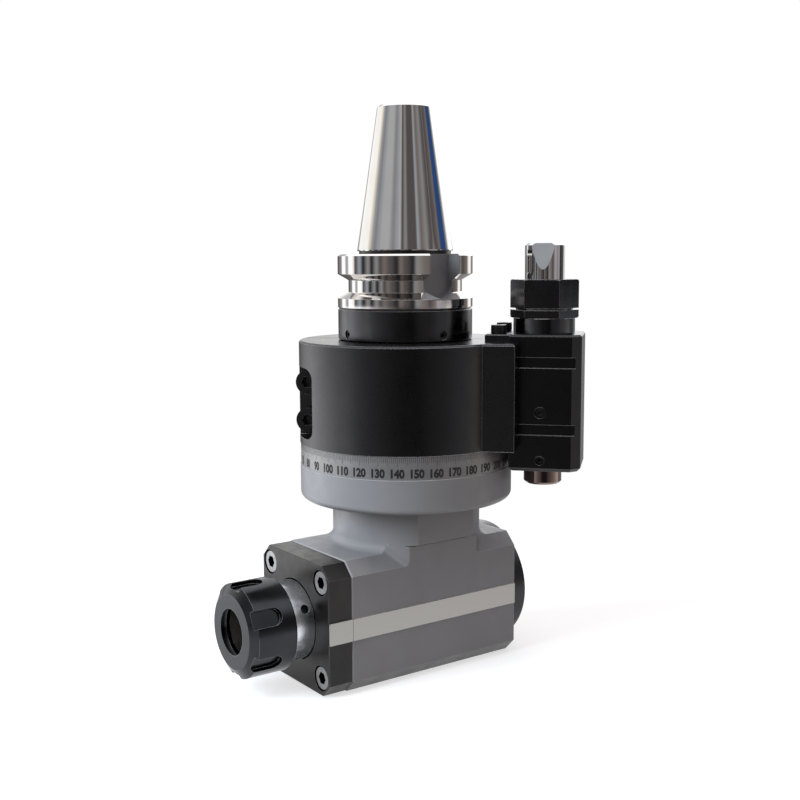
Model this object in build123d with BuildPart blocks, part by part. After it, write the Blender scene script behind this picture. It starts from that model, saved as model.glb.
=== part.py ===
"""Right-angle milling head: a 7/24 taper arbor drives a collet spindle through mitre bevel gears.

Sizes are in millimetres. The origin is on the arbor axis, at the gauge plane of the taper, with +Z up
along the shank. The output spindle points along -Y and the long sides of the gear housing face +X and -X.
"""

import math
import os

from build123d import *

os.makedirs("parts", exist_ok=True)

# Clearances
fit_gap = 0.02  # radial gap between a piece and its seat
running_gap = 0.05  # radial gap of a piece that turns or slides in another
swivel_gap = 0.1  # gap between the sliding faces of the swivel
ball_play = 0.06  # gap between a ball and its race
cut_margin = 2.0  # how far a cutting shape reaches past the surface that it cuts
end_chamfer = 1.0  # at the ends of turned shafts

# Screws: head radius, head height and width of the hexagon socket
small_head = (3.5, 4.0, 3.0)
clamp_head = (5.7, 6.0, 5.0)
medium_head = (5.0, 6.0, 5.0)
large_head = (6.5, 7.0, 6.0)
head_clearance = 0.3

# Taper shank of the arbor
gauge_radius = 44.45 / 2
taper_length = 65.4
taper_slope = 7 / 48  # radius lost per millimetre of height
flange_top = -2.0
taper_relief_top = -0.5  # groove between the taper and the flange
taper_relief_depth = 0.8
flange_radius = 63.0 / 2
flange_height = 25.0
groove_centre = -16.6
groove_root_radius = 53.0 / 2
groove_root_width = 5.4
groove_flank = 30.0  # degrees from the plane of the flange
drive_slot_width = 16.1
drive_slot_floor = 22.6  # from the arbor axis
drive_slot_bottom = -22.5
drawbar_bore_radius = 7.0
drawbar_bore_depth = 45.0
drawbar_pilot_radius = 8.5
drawbar_pilot_depth = 9.0

# Body of the arbor below the flange
hub_radius = 25.0
collar_radius = 31.4
collar_bottom = -41.2
collar_chamfer = 0.4
hub_bottom = -45.2
collar_screw_radius = 2.0
collar_screw_height = -38.3
collar_screw_angle = -3.0
collar_screw_length = 5.6
collar_screw_hexagon = 2.0
collar_screw_depth = 0.6
seal_journal_radius = 21.0
seal_outer_radius = 25.0
retainer_hole_count = 4
retainer_hole_radius = 1.6
retainer_hole_depth = 3.0

# Clamp body, the black split ring that the head swivels in
body_radius = 50.0
body_top = -41.5
body_height = 47.75
body_opening_radius = 30.0
body_web = 3.7
split_width = 2.0
pad_reach = 55.0  # from the arbor axis to the end face of the pad
pad_half_width = 29.0
edge_break = 0.8
keyway_place = (33.5, 4.0)  # small slot in the top face, beside the key plate
keyway_size = (5.0, 1.4)
keyway_depth = 0.6

# Clamp screws, across the split
clamp_axis = 42.5  # from the arbor axis to the plane of the clamp screws
clamp_screw_spacing = 17.7
clamp_screw_centre = -69.7
clamp_screw_radius = 3.0
clamp_screw_length = 28.0
clamp_pocket_inner = 35.5
clamp_pocket_height = 32.6
clamp_pocket_centre = -69.7
clamp_pocket_floor = 13.0
clamp_pocket_corner = 5.0

# Locating pin and its block
pin_angle = 42.0  # about the arbor, from +X towards +Y
pin_distance = 65.0
pin_radius = 9.0
pin_top = 2.6
pin_travel = 5.0
wedge_offset = 7.2  # from the pin axis to the wedge flat, at the tip
wedge_angle = 8.7
block_inner = 51.0
block_outer = 83.0
block_half_depth = 17.0
block_top = -38.0
block_bottom = -99.7
block_chamfer = 4.0
block_foot_chamfer = 1.5
block_groove_height = 4.8
block_groove_depth = 1.5
block_groove_centres = (-50.5, -80.7)
pin_tail_radius = 8.7
pin_tail_end = -107.4
pin_collar_radius = 11.2
pin_collar_height = 11.0
spring_floor = -92.0
spring_wire = 1.8
spring_turns = 4
spring_radius = 9.95
guide_hex_top = -13.7
guide_hex_bottom = -31.1
guide_hex_across = 27.0
guide_groove_height = -27.0
guide_neck_radius = 14.0
guide_thread_radius = 12.0
guide_corner_chamfer = 0.6
guide_groove_width = 0.8
guide_groove_depth = 0.5
key_screw_radius = 2.5
key_screw_hexagon = 2.5
key_screw_height = -72.9
key_tip_radius = 1.7
collar_slot_play = 0.4
key_tip_gap = 0.6  # from the tip of the key screw to the floor of its slot
tail_screw_radius = 2.0
tail_screw_hexagon = 2.0
tail_screw_gap = 0.5  # from the screw to the tail of the pin
tail_screw_height = -94.6
block_set_screw_depth = 2.0  # from the front face of the block
block_screw_offset = 13.0
block_screw_heights = (-52.0, -78.0)
block_screw_radius = 2.0
block_screw_seat = 39.5
block_screw_end = 58.8

# Key plate on top of the clamp body
plate_inner = 39.7
plate_half_width = 14.5
plate_thickness = 3.5
plate_chamfer = 0.5
plate_screw_reach = 45.5
plate_screw_spacing = 20.0
plate_screw_radius = 2.0
plate_screw_length = 10.0

# Dial and flange of the gear housing
dial_height = 10.3
dial_radius = 49.7
head_flange_radius = 50.0
head_flange_height = 15.8
head_flange_round = 3.0
stem_radius = 35.0
stem_top = -45.5
neck_radius = 35.0
neck_fillet = 4.0
neck_half_width = 31.2
neck_ledge = -132.3
neck_relief = 0.8  # undercut below the ledge, as wide as it is deep

# Gear housing
spindle_height = -165.3
housing_width = 58.4
housing_height = 59.5
housing_front = -50.3
housing_rear = 43.4
corner_chamfer = 6.0
strip_height = 9.9
strip_proud = 0.5
housing_edge = 0.4

# Front cover
cover_thickness = 12.0
cover_inset = 0.4
cover_bore_radius = 18.5
cover_chamfer = 0.3
cover_screw_radius = 3.0
cover_screw_length = 16.0
cover_screw_clearance = 0.2
cover_screw_x = 22.0
cover_screw_z = 21.5
counterbore_radius = 5.75
counterbore_depth = 6.5

# Rear cap
cap_radius = 29.4
cap_thickness = 7.8
cap_round = 1.5
cap_recess_radius = 20.0
cap_recess_end = 5.4  # from the rear face of the housing
cap_hole_count = 4
cap_hole_place = 24.0
cap_hole_depth = 4.0
spanner_hole_radius = 2.0

# Bearings: bore radius, outer radius, width, ball radius, number of balls
upper_bearing_size = (17.5, 31.0, 14.0, 4.25, 12)
lower_bearing_size = (15.0, 27.5, 13.0, 3.75, 12)
front_bearing_size = (15.0, 23.5, 9.0, 2.5, 16)
rear_bearing_size = (10.0, 26.0, 15.0, 4.5, 9)
race_share = 0.36  # how far a ring reaches past the middle of the balls, in ball diameters
upper_bearing_top = -53.0
lower_bearing_bottom = -121.0
outer_spacer_bore = 24.0
inner_spacer_radius = 18.5
front_bearing_rows = 2
row_gap = 0.1

# Mitre bevel gears
gear_teeth = 20
gear_module = 2.2
gear_face_width = 8.0
gear_backlash = 0.2
pressure_angle = 20.0
gear_hub_radius = 14.7
gear_stock = 0.6  # how far the turned blank reaches past the tips of the teeth
arbor_gear_hub_radius = 17.0
gear_shaft_radius = 10.0
gear_key = (6.0, 6.0, 12.0)
gear_key_inset = 1.0
gear_screw_radius = 4.0
gear_screw_length = 18.0
gear_screw_clearance = 0.3
arbor_end_gap = 5.0  # from the back of the arbor gear's teeth to the end of the arbor
gear_web = 3.3  # the wall of the arbor gear that its screw pulls on
gear_web_overlap = 1.0
gear_web_gap = 0.5  # between the end of the arbor and that wall
gear_land = 3.0  # from the back of the spindle gear to the bearing behind it
chamber_radius = 25.0
shaft_bore_radius = 24.6
chamber_front = -16.0
shaft_bore_bottom = -152.0

# Output spindle, with places measured outwards from the arbor axis
collet_angle = 8.0
collet_mouth_radius = 13.0
collet_depth = 26.0
spindle_bore_radius = 8.2
spindle_bore_end = 22.0
nose_radius = 16.0
nose_end = 88.5
spindle_collar_radius = 18.0
spindle_collar_end = 72.3
spanner_hole_place = 66.2
spanner_hole_count = 4
spanner_hole_angle = 30.0
spanner_hole_depth = 3.0
spindle_waist_radius = 12.5
locknut_radius = 20.0
locknut_width = 5.7
rear_locknut_radius = 15.5
rear_locknut_width = 6.1
spindle_tail = 0.3  # how far the spindle reaches past that nut
locknut_notch_count = 4
locknut_notch_width = 4.0
locknut_notch_depth = 1.5
middle_bore_radius = 21.0

# Collet nut
nut_radius = 21.0
nut_rear = 72.8
nut_front = 94.3
nut_face_radius = 16.6
nut_face_chamfer = 2.6
nut_mouth_radius = 10.3
nut_ring_radius = 14.8
nut_ring_inner = 11.5
nut_ring_width = 2.6
nut_ring_chamfer = 0.8
nut_ring_gap = 0.7  # from the end of the spindle to the ring
nut_slot_count = 6
nut_slot_width = 8.0
nut_slot_depth = 2.2
nut_slot_end = 79.4
nut_slot_angle = 28.0

# Planes and axes
arbor_frame = Plane(origin=(0, 0, 0), x_dir=(1, 0, 0), z_dir=(0, 0, 1))
spindle_frame = Plane(origin=(0, 0, spindle_height), x_dir=(1, 0, 0), z_dir=(0, -1, 0))
pin_direction = Vector(math.cos(math.radians(pin_angle)), math.sin(math.radians(pin_angle)), 0)
front_direction = Vector(pin_direction.Y, -pin_direction.X, 0)  # out of the front of the pin block
pin_point = pin_direction * pin_distance
pin_frame = Plane(origin=pin_point, x_dir=pin_direction, z_dir=(0, 0, 1))
body_frame = Plane(origin=(0, 0, 0), x_dir=pin_direction, z_dir=(0, 0, 1))
body_bottom = body_top - body_height
pin_collar_top = key_screw_height + pin_travel + key_tip_radius + collar_slot_play / 2
dial_top = body_bottom - swivel_gap
dial_bottom = dial_top - dial_height
head_flange_bottom = dial_bottom - head_flange_height
cover_front = -housing_front + cover_thickness
flange_bottom = flange_top - flange_height


def section_of(frame: Plane) -> Plane:
    """The plane through a turning axis, with local x as the radius and local y along the axis."""
    return Plane(origin=frame.origin, x_dir=frame.x_dir, z_dir=-frame.y_dir)


def axis_of(frame: Plane) -> Axis:
    """The turning axis of a frame."""
    return Axis(frame.origin, frame.z_dir)


def bearing(frame: Plane, size: tuple, start: float, rows: int = 1) -> tuple:
    """Outer rings, balls and inner rings of one bearing, or of several in a row from start outwards."""
    bore, outside, width, ball, count = size
    pitch = (bore + outside) / 2
    land = 2 * ball * race_share
    middles = [start + width / 2 + row * (width + row_gap) for row in range(rows)]
    with BuildPart() as outer:
        for middle in middles:
            with BuildSketch(section_of(frame)):
                with Locations(((pitch + land + outside) / 2, middle)):
                    Rectangle(outside - pitch - land, width)
                with Locations((pitch, middle)):
                    Circle(ball + ball_play, mode=Mode.SUBTRACT)
            revolve(axis=axis_of(frame))
    with BuildPart() as inner:
        for middle in middles:
            with BuildSketch(section_of(frame)):
                with Locations(((bore + pitch - land) / 2, middle)):
                    Rectangle(pitch - land - bore, width)
                with Locations((pitch, middle)):
                    Circle(ball + ball_play, mode=Mode.SUBTRACT)
            revolve(axis=axis_of(frame))
    with BuildPart() as balls:
        for middle in middles:
            with Locations(frame.offset(middle)):
                with PolarLocations(pitch, count):
                    Sphere(ball)
    return outer.part, balls.part, inner.part


def ring(frame: Plane, outside: float, inside: float, start: float, end: float) -> Part:
    """A plain ring about a frame's axis, from start to end along it."""
    with BuildPart() as plain:
        with BuildSketch(frame.offset(start)):
            Circle(outside)
            Circle(inside, mode=Mode.SUBTRACT)
        extrude(amount=end - start)
    return plain.part


def socket_screw(frames: list, shank: float, length: float, head_size: tuple) -> Part:
    """Socket head cap screws, one on each frame: the head stands up from the frame, the shank goes down."""
    head, height, hexagon = head_size
    with BuildPart() as screws:
        for frame in frames:
            with BuildSketch(frame.offset(-length)):
                Circle(shank)
            extrude(amount=length)
            with BuildSketch(frame):
                Circle(head)
            extrude(amount=height)
            with BuildSketch(frame.offset(height)):
                RegularPolygon(hexagon / 2, 6, major_radius=False)
            extrude(amount=-height / 2, mode=Mode.SUBTRACT)
    return screws.part


def set_screw(frames: list, radius: float, length: float, hexagon: float) -> Part:
    """Headless screws with a hexagon socket, one on each frame, whose outer end lies in the frame."""
    with BuildPart() as screws:
        for frame in frames:
            with BuildSketch(frame):
                Circle(radius)
            extrude(amount=-length)
            with BuildSketch(frame):
                RegularPolygon(hexagon / 2, 6, major_radius=False)
            extrude(amount=-length / 2, mode=Mode.SUBTRACT)
    return screws.part


def save(piece: Part, name: str) -> None:
    """Give a finished piece its name and write it."""
    piece.label = name
    export_step(piece, f"parts/{name}.step")


# Bevel gear geometry: both gears have the same cone, with its apex where the axes cross
cone = math.radians(45.0)
pitch_radius = gear_module * gear_teeth / 2
cone_length = pitch_radius / math.sin(cone)
inner_share = 1 - gear_face_width / cone_length
addendum = gear_module
dedendum = 1.25 * gear_module
tip_point = (pitch_radius + addendum * math.cos(cone), pitch_radius - addendum * math.sin(cone))
root_point = (pitch_radius - dedendum * math.cos(cone), pitch_radius + dedendum * math.sin(cone))
inner_root = tuple(inner_share * value for value in root_point)
gear_seat = inner_root[1]
gear_back = root_point[1]


def tooth_half_angle(reach: float) -> float:
    """Half the angle of a tooth about the gear's axis, at a distance from the apex of the back cone."""
    virtual_pitch = pitch_radius / math.cos(cone)
    base = virtual_pitch * math.cos(math.radians(pressure_angle))
    pitch_half = (math.pi * gear_module - gear_backlash) / 4 / virtual_pitch

    def involute(radius: float) -> float:
        angle = math.acos(min(1.0, base / radius))
        return math.tan(angle) - angle

    return (pitch_half + involute(virtual_pitch) - involute(max(reach, base))) / math.cos(cone)


def gear_outline(height: float) -> list:
    """The toothed outline where a plane cuts the teeth, at a height above the apex."""
    virtual_pitch = pitch_radius / math.cos(cone)
    flank_points = 6
    lowest, highest = virtual_pitch - dedendum, virtual_pitch + addendum
    flank = []
    for step in range(flank_points):
        reach = lowest + (highest - lowest) * step / (flank_points - 1)
        radius = reach * math.cos(cone)
        level = pitch_radius - (reach - virtual_pitch) * math.sin(cone)
        flank.append((height * radius / level, tooth_half_angle(reach)))
    outline = []
    for tooth in range(gear_teeth):
        middle = 2 * math.pi * tooth / gear_teeth
        for radius, half in flank:
            outline.append((radius * math.cos(middle - half), radius * math.sin(middle - half)))
        for radius, half in reversed(flank):
            outline.append((radius * math.cos(middle + half), radius * math.sin(middle + half)))
    return outline


def bevel_gear(frame: Plane, hub: float, hub_end: float) -> Part:
    """A bevel gear whose apex is the frame's origin, with a hub behind its teeth up to hub_end."""
    with BuildPart() as gear:
        for height in (gear_seat - cut_margin, gear_back + cut_margin):
            with BuildSketch(frame.offset(height)):
                with BuildLine():
                    Polyline(*gear_outline(height), close=True)
                make_face()
        loft(ruled=True)
        with BuildSketch(section_of(frame)):
            with BuildLine():
                Polyline(
                    (0, gear_seat),
                    inner_root,
                    (inner_share * tip_point[0] + gear_stock, inner_share * tip_point[1] - gear_stock),
                    (tip_point[0] + gear_stock, tip_point[1] - gear_stock),
                    root_point,
                    (0, gear_back),
                    close=True,
                )
            make_face()
        revolve(axis=axis_of(frame), mode=Mode.INTERSECT)
        with BuildSketch(frame.offset(gear_seat + gear_module)):
            Circle(hub)
        extrude(amount=hub_end - gear_seat - gear_module)
        with BuildSketch(frame.offset(gear_seat)):
            Circle(gear_shaft_radius + fit_gap)
        extrude(amount=hub_end - gear_seat, mode=Mode.SUBTRACT)
    return gear.part


# Taper arbor
groove_rise = (flange_radius - groove_root_radius) * math.tan(math.radians(groove_flank))
groove_top = groove_centre + groove_root_width / 2
groove_bottom = groove_centre - groove_root_width / 2
taper_top_radius = gauge_radius - taper_length * taper_slope
upper_bearing_bottom = upper_bearing_top - upper_bearing_size[2]
lower_bearing_top = lower_bearing_bottom + lower_bearing_size[2]
shaft_step = lower_bearing_bottom + gear_web_gap
arbor_end = spindle_height + gear_back + arbor_end_gap
key_width, key_height, key_length = gear_key
with BuildPart() as taper_arbor:
    with BuildSketch(section_of(arbor_frame)):
        with BuildLine():
            Polyline(
                (0, taper_length),
                (taper_top_radius - end_chamfer, taper_length),
                (taper_top_radius, taper_length - end_chamfer),
                (gauge_radius, 0),
                (gauge_radius, taper_relief_top),
                (gauge_radius - taper_relief_depth, taper_relief_top),
                (gauge_radius - taper_relief_depth, flange_top),
                (flange_radius - edge_break, flange_top),
                (flange_radius, flange_top - edge_break),
                (flange_radius, groove_top + groove_rise),
                (groove_root_radius, groove_top),
                (groove_root_radius, groove_bottom),
                (flange_radius, groove_bottom - groove_rise),
                (flange_radius, flange_bottom + edge_break),
                (flange_radius - edge_break, flange_bottom),
                (hub_radius, flange_bottom),
                (hub_radius, hub_bottom),
                (seal_journal_radius, hub_bottom),
                (seal_journal_radius, upper_bearing_top),
                (upper_bearing_size[0] - fit_gap, upper_bearing_top),
                (upper_bearing_size[0] - fit_gap, upper_bearing_bottom),
                (lower_bearing_size[0] - fit_gap, upper_bearing_bottom),
                (lower_bearing_size[0] - fit_gap, shaft_step),
                (gear_shaft_radius, shaft_step),
                (gear_shaft_radius, arbor_end),
                (0, arbor_end),
                close=True,
            )
        make_face()
    revolve(axis=Axis.Z)
    for side in (0, 180):
        slot_plane = Plane.XY.rotated((0, 0, side))
        slot_wall = Plane(
            origin=slot_plane.from_local_coords((drive_slot_floor, 0, 0)),
            x_dir=slot_plane.y_dir,
            z_dir=slot_plane.x_dir,
        )
        with BuildSketch(slot_wall):
            slot_middle = drive_slot_bottom + drive_slot_width / 2
            with Locations((0, slot_middle)):
                Circle(drive_slot_width / 2)
            with Locations((0, slot_middle / 2)):
                Rectangle(drive_slot_width, -slot_middle)
        extrude(amount=flange_radius, mode=Mode.SUBTRACT)
    with BuildSketch(Plane.XY.offset(taper_length)):
        Circle(drawbar_bore_radius)
    extrude(amount=-drawbar_bore_depth, mode=Mode.SUBTRACT)
    with BuildSketch(Plane.XY.offset(taper_length)):
        Circle(drawbar_pilot_radius)
    extrude(amount=-drawbar_pilot_depth, mode=Mode.SUBTRACT)
    with BuildSketch(Plane.XY.offset(arbor_end)):
        Circle(gear_screw_radius + fit_gap)
    extrude(amount=gear_screw_length, mode=Mode.SUBTRACT)
    with Locations((gear_shaft_radius, 0, arbor_end + key_length / 2)):
        Box(key_height, key_width + 2 * fit_gap, key_length, mode=Mode.SUBTRACT)
save(taper_arbor.part, "taper_arbor")

# Black ring under the flange, with four set screws that bear on the hub
collar_screw_frames = [
    Plane(
        origin=(
            (collar_radius - collar_screw_depth) * math.cos(angle),
            (collar_radius - collar_screw_depth) * math.sin(angle),
            collar_screw_height,
        ),
        z_dir=(math.cos(angle), math.sin(angle), 0),
    )
    for angle in (math.radians(collar_screw_angle + 90 * quarter) for quarter in range(4))
]
with BuildPart() as orientation_collar:
    with BuildSketch(Plane.XY.offset(collar_bottom)):
        Circle(collar_radius)
        Circle(hub_radius + fit_gap, mode=Mode.SUBTRACT)
    extrude(amount=flange_bottom - collar_bottom)
    chamfer(edges().filter_by(GeomType.CIRCLE).sort_by(SortBy.RADIUS)[-2:], collar_chamfer)
    for screw_frame in collar_screw_frames:
        with BuildSketch(screw_frame.offset(cut_margin)):
            Circle(collar_screw_radius + fit_gap)
        extrude(amount=hub_radius - collar_radius - 2 * cut_margin, mode=Mode.SUBTRACT)
save(orientation_collar.part, "orientation_collar")
save(
    set_screw(collar_screw_frames, collar_screw_radius, collar_screw_length, collar_screw_hexagon),
    "collar_set_screws",
)

# Arbor bearings, spacers, seal and retainer
upper_outer, upper_balls, upper_inner = bearing(arbor_frame, upper_bearing_size, upper_bearing_bottom)
save(upper_outer, "upper_bearing_outer")
save(upper_balls, "upper_bearing_balls")
save(upper_inner, "upper_bearing_inner")
lower_outer, lower_balls, lower_inner = bearing(arbor_frame, lower_bearing_size, lower_bearing_bottom)
save(lower_outer, "lower_bearing_outer")
save(lower_balls, "lower_bearing_balls")
save(lower_inner, "lower_bearing_inner")
outer_seat_radius = lower_bearing_size[1] - fit_gap
save(
    ring(arbor_frame, outer_seat_radius, outer_spacer_bore, lower_bearing_top, upper_bearing_bottom),
    "outer_spacer",
)
save(
    ring(arbor_frame, inner_spacer_radius, lower_bearing_size[0], lower_bearing_top, upper_bearing_bottom),
    "inner_spacer",
)
with BuildPart() as bearing_retainer:
    with BuildSketch(Plane.XY.offset(upper_bearing_top)):
        Circle(upper_bearing_size[1] - fit_gap)
        Circle(seal_outer_radius, mode=Mode.SUBTRACT)
    extrude(amount=stem_top - upper_bearing_top)
    with BuildSketch(Plane.XY.offset(stem_top)):
        with PolarLocations((upper_bearing_size[1] + seal_outer_radius) / 2, retainer_hole_count):
            Circle(retainer_hole_radius)
    extrude(amount=-retainer_hole_depth, mode=Mode.SUBTRACT)
save(bearing_retainer.part, "bearing_retainer")
save(
    ring(arbor_frame, seal_outer_radius, seal_journal_radius + running_gap, upper_bearing_top + 1, stem_top),
    "arbor_seal",
)

# Gears, keys and the screw that holds the arbor gear
arbor_gear_frame = Plane(origin=(0, 0, spindle_height), x_dir=(0, 1, 0), z_dir=(0, 0, 1))
rear_frame = Plane(origin=(0, 0, spindle_height), x_dir=(1, 0, 0), z_dir=(0, 1, 0))
half_tooth = math.pi / gear_teeth  # turned so that a space of the spindle gear meets a tooth above it
gear_phase = half_tooth + (math.pi / 2) % (2 * half_tooth)
spindle_gear_frame = Plane(
    origin=rear_frame.origin, x_dir=(math.cos(gear_phase), 0, math.sin(gear_phase)), z_dir=(0, 1, 0)
)
arbor_hub_end = lower_bearing_bottom - spindle_height
gear_web_top = arbor_end - gear_web_gap
gear_screw_seat = gear_web_top - gear_web
arbor_gear_solid = bevel_gear(arbor_gear_frame, arbor_gear_hub_radius, arbor_hub_end)
with BuildPart() as arbor_gear:
    add(arbor_gear_solid)
    with BuildSketch(Plane.XY.offset(spindle_height + gear_seat)):
        Circle(gear_shaft_radius + gear_web_overlap)
        Circle(gear_screw_radius + gear_screw_clearance, mode=Mode.SUBTRACT)
    extrude(amount=gear_web_top - spindle_height - gear_seat)
    with BuildSketch(Plane.XY.offset(gear_screw_seat)):
        Circle(large_head[0] + head_clearance)
    extrude(amount=-(gear_screw_seat - spindle_height), mode=Mode.SUBTRACT)
    with Locations((gear_shaft_radius, 0, arbor_end + key_length / 2)):
        Box(key_height + 2 * fit_gap, key_width + 2 * fit_gap, key_length, mode=Mode.SUBTRACT)
save(arbor_gear.part, "arbor_gear")
with BuildPart() as arbor_gear_key:
    with Locations((gear_shaft_radius, 0, arbor_end + key_length / 2)):
        Box(key_height - fit_gap, key_width, key_length - fit_gap)
save(arbor_gear_key.part, "arbor_gear_key")
gear_screw_frame = Plane(origin=(0, 0, gear_screw_seat), x_dir=(1, 0, 0), z_dir=(0, 0, -1))
save(
    socket_screw([gear_screw_frame], gear_screw_radius, gear_screw_length, large_head),
    "arbor_gear_screw",
)

rear_bearing_start = gear_back + gear_land
spindle_gear_solid = bevel_gear(spindle_gear_frame, gear_hub_radius, rear_bearing_start)
spindle_key_start = gear_seat + gear_key_inset
spindle_key_place = (spindle_key_start + rear_bearing_start) / 2
spindle_key_length = rear_bearing_start - spindle_key_start
with BuildPart() as spindle_gear:
    add(spindle_gear_solid)
    with Locations((gear_shaft_radius, spindle_key_place, spindle_height)):
        Box(key_height + 2 * fit_gap, spindle_key_length, key_width + 2 * fit_gap, mode=Mode.SUBTRACT)
save(spindle_gear.part, "spindle_gear")
with BuildPart() as spindle_gear_key:
    with Locations((gear_shaft_radius, spindle_key_place, spindle_height)):
        Box(key_height - fit_gap, spindle_key_length - fit_gap, key_width)
save(spindle_gear_key.part, "spindle_gear_key")

# Output spindle
front_seat_end = -housing_front
front_rows_width = front_bearing_rows * front_bearing_size[2] + row_gap * (front_bearing_rows - 1)
front_seat_start = front_seat_end - front_rows_width
locknut_start = front_seat_start - locknut_width
rear_nut_start = rear_bearing_start + rear_bearing_size[2]
rear_nut_end = rear_nut_start + rear_locknut_width
rear_end = -rear_nut_end - spindle_tail
collet_bottom = nose_end - collet_depth
collet_bottom_radius = collet_mouth_radius - collet_depth * math.tan(math.radians(collet_angle))
with BuildPart() as output_spindle:
    with BuildSketch(section_of(spindle_frame)):
        with BuildLine():
            Polyline(
                (collet_mouth_radius, nose_end),
                (nose_radius - end_chamfer, nose_end),
                (nose_radius, nose_end - end_chamfer),
                (nose_radius, spindle_collar_end),
                (spindle_collar_radius - edge_break, spindle_collar_end),
                (spindle_collar_radius, spindle_collar_end - edge_break),
                (spindle_collar_radius, front_seat_end),
                (front_bearing_size[0] - fit_gap, front_seat_end),
                (front_bearing_size[0] - fit_gap, locknut_start),
                (spindle_waist_radius, locknut_start),
                (spindle_waist_radius, -gear_seat),
                (gear_shaft_radius, -gear_seat),
                (gear_shaft_radius, -rear_bearing_start),
                (rear_bearing_size[0] - fit_gap, -rear_bearing_start),
                (rear_bearing_size[0] - fit_gap, rear_end),
                (0, rear_end),
                (0, spindle_bore_end),
                (spindle_bore_radius, spindle_bore_end),
                (spindle_bore_radius, collet_bottom),
                (collet_bottom_radius, collet_bottom),
                close=True,
            )
        make_face()
    revolve(axis=axis_of(spindle_frame))
    with Locations(spindle_frame.offset(spanner_hole_place)):
        with PolarLocations(spindle_collar_radius, spanner_hole_count, spanner_hole_angle):
            Cylinder(spanner_hole_radius, 2 * spanner_hole_depth, rotation=(0, 90, 0), mode=Mode.SUBTRACT)
    with Locations((gear_shaft_radius, spindle_key_place, spindle_height)):
        Box(key_height, spindle_key_length, key_width + 2 * fit_gap, mode=Mode.SUBTRACT)
save(output_spindle.part, "output_spindle")

# Spindle bearings and locknuts
front_outer, front_balls, front_inner = bearing(
    spindle_frame, front_bearing_size, front_seat_start, front_bearing_rows
)
save(front_outer, "front_bearing_outers")
save(front_balls, "front_bearing_balls")
save(front_inner, "front_bearing_inners")
rear_outer, rear_balls, rear_inner = bearing(rear_frame, rear_bearing_size, rear_bearing_start)
save(rear_outer, "rear_bearing_outer")
save(rear_balls, "rear_bearing_balls")
save(rear_inner, "rear_bearing_inner")


def lock_nut(frame: Plane, outside: float, inside: float, start: float, end: float) -> Part:
    """A round lock nut with spanner notches in its rim."""
    with BuildPart() as nut:
        with BuildSketch(frame.offset(start)):
            Circle(outside)
            Circle(inside, mode=Mode.SUBTRACT)
            with PolarLocations(outside, locknut_notch_count):
                Rectangle(locknut_notch_depth * 2, locknut_notch_width, mode=Mode.SUBTRACT)
        extrude(amount=end - start)
    return nut.part


save(
    lock_nut(spindle_frame, locknut_radius, front_bearing_size[0], locknut_start, front_seat_start),
    "spindle_locknut",
)
save(
    lock_nut(rear_frame, rear_locknut_radius, rear_bearing_size[0], rear_nut_start, rear_nut_end),
    "rear_locknut",
)

# Collet nut and the ring inside it that pulls the collet out
ring_rear = nose_end + nut_ring_gap
ring_front = ring_rear + nut_ring_width
with BuildPart() as extractor_ring:
    with BuildSketch(section_of(spindle_frame)):
        with BuildLine():
            Polyline(
                (nut_ring_inner, ring_rear),
                (nut_ring_radius, ring_rear),
                (nut_ring_radius, ring_front),
                (nut_ring_inner + nut_ring_chamfer, ring_front),
                (nut_ring_inner, ring_front - nut_ring_chamfer),
                close=True,
            )
        make_face()
    revolve(axis=axis_of(spindle_frame))
save(extractor_ring.part, "extractor_ring")
with BuildPart() as collet_nut:
    with BuildSketch(section_of(spindle_frame)):
        with BuildLine():
            Polyline(
                (nose_radius + running_gap, nut_rear),
                (nut_radius - edge_break, nut_rear),
                (nut_radius, nut_rear + edge_break),
                (nut_radius, nut_front - nut_face_chamfer),
                (nut_face_radius, nut_front),
                (nut_mouth_radius, nut_front),
                (nut_ring_inner + nut_ring_chamfer, ring_front + running_gap),
                (nut_ring_radius + running_gap, ring_front + running_gap),
                (nut_ring_radius + running_gap, ring_rear - running_gap),
                (nose_radius + running_gap, ring_rear - running_gap),
                close=True,
            )
        make_face()
    revolve(axis=axis_of(spindle_frame))
    for slot in range(nut_slot_count):
        turn = math.radians(nut_slot_angle + slot * 360 / nut_slot_count)
        outward = Vector(math.cos(turn), 0, math.sin(turn))
        with BuildSketch(
            Plane(
                origin=Vector(0, 0, spindle_height) + outward * (nut_radius - nut_slot_depth),
                x_dir=(0, -1, 0),
                z_dir=outward,
            )
        ):
            slot_start = nut_slot_end + nut_slot_width / 2
            with Locations((slot_start, 0)):
                Circle(nut_slot_width / 2)
            with Locations(((slot_start + nut_front) / 2 + 1, 0)):
                Rectangle(nut_front - slot_start + 2, nut_slot_width)
        extrude(amount=2 * nut_slot_depth, mode=Mode.SUBTRACT)
save(collet_nut.part, "collet_nut")


def housing_outline(inset: float) -> list:
    """The chamfered outline of the gear housing across the spindle, drawn in by an inset."""
    half_width = housing_width / 2 - inset
    half_height = housing_height / 2 - inset
    cut = corner_chamfer - inset * (2 - math.sqrt(2))
    corners = [
        (half_width, half_height - cut),
        (half_width - cut, half_height),
    ]
    corners += [(-x, y) for x, y in reversed(corners)]
    return corners + [(-x, -y) for x, y in corners]


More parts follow.
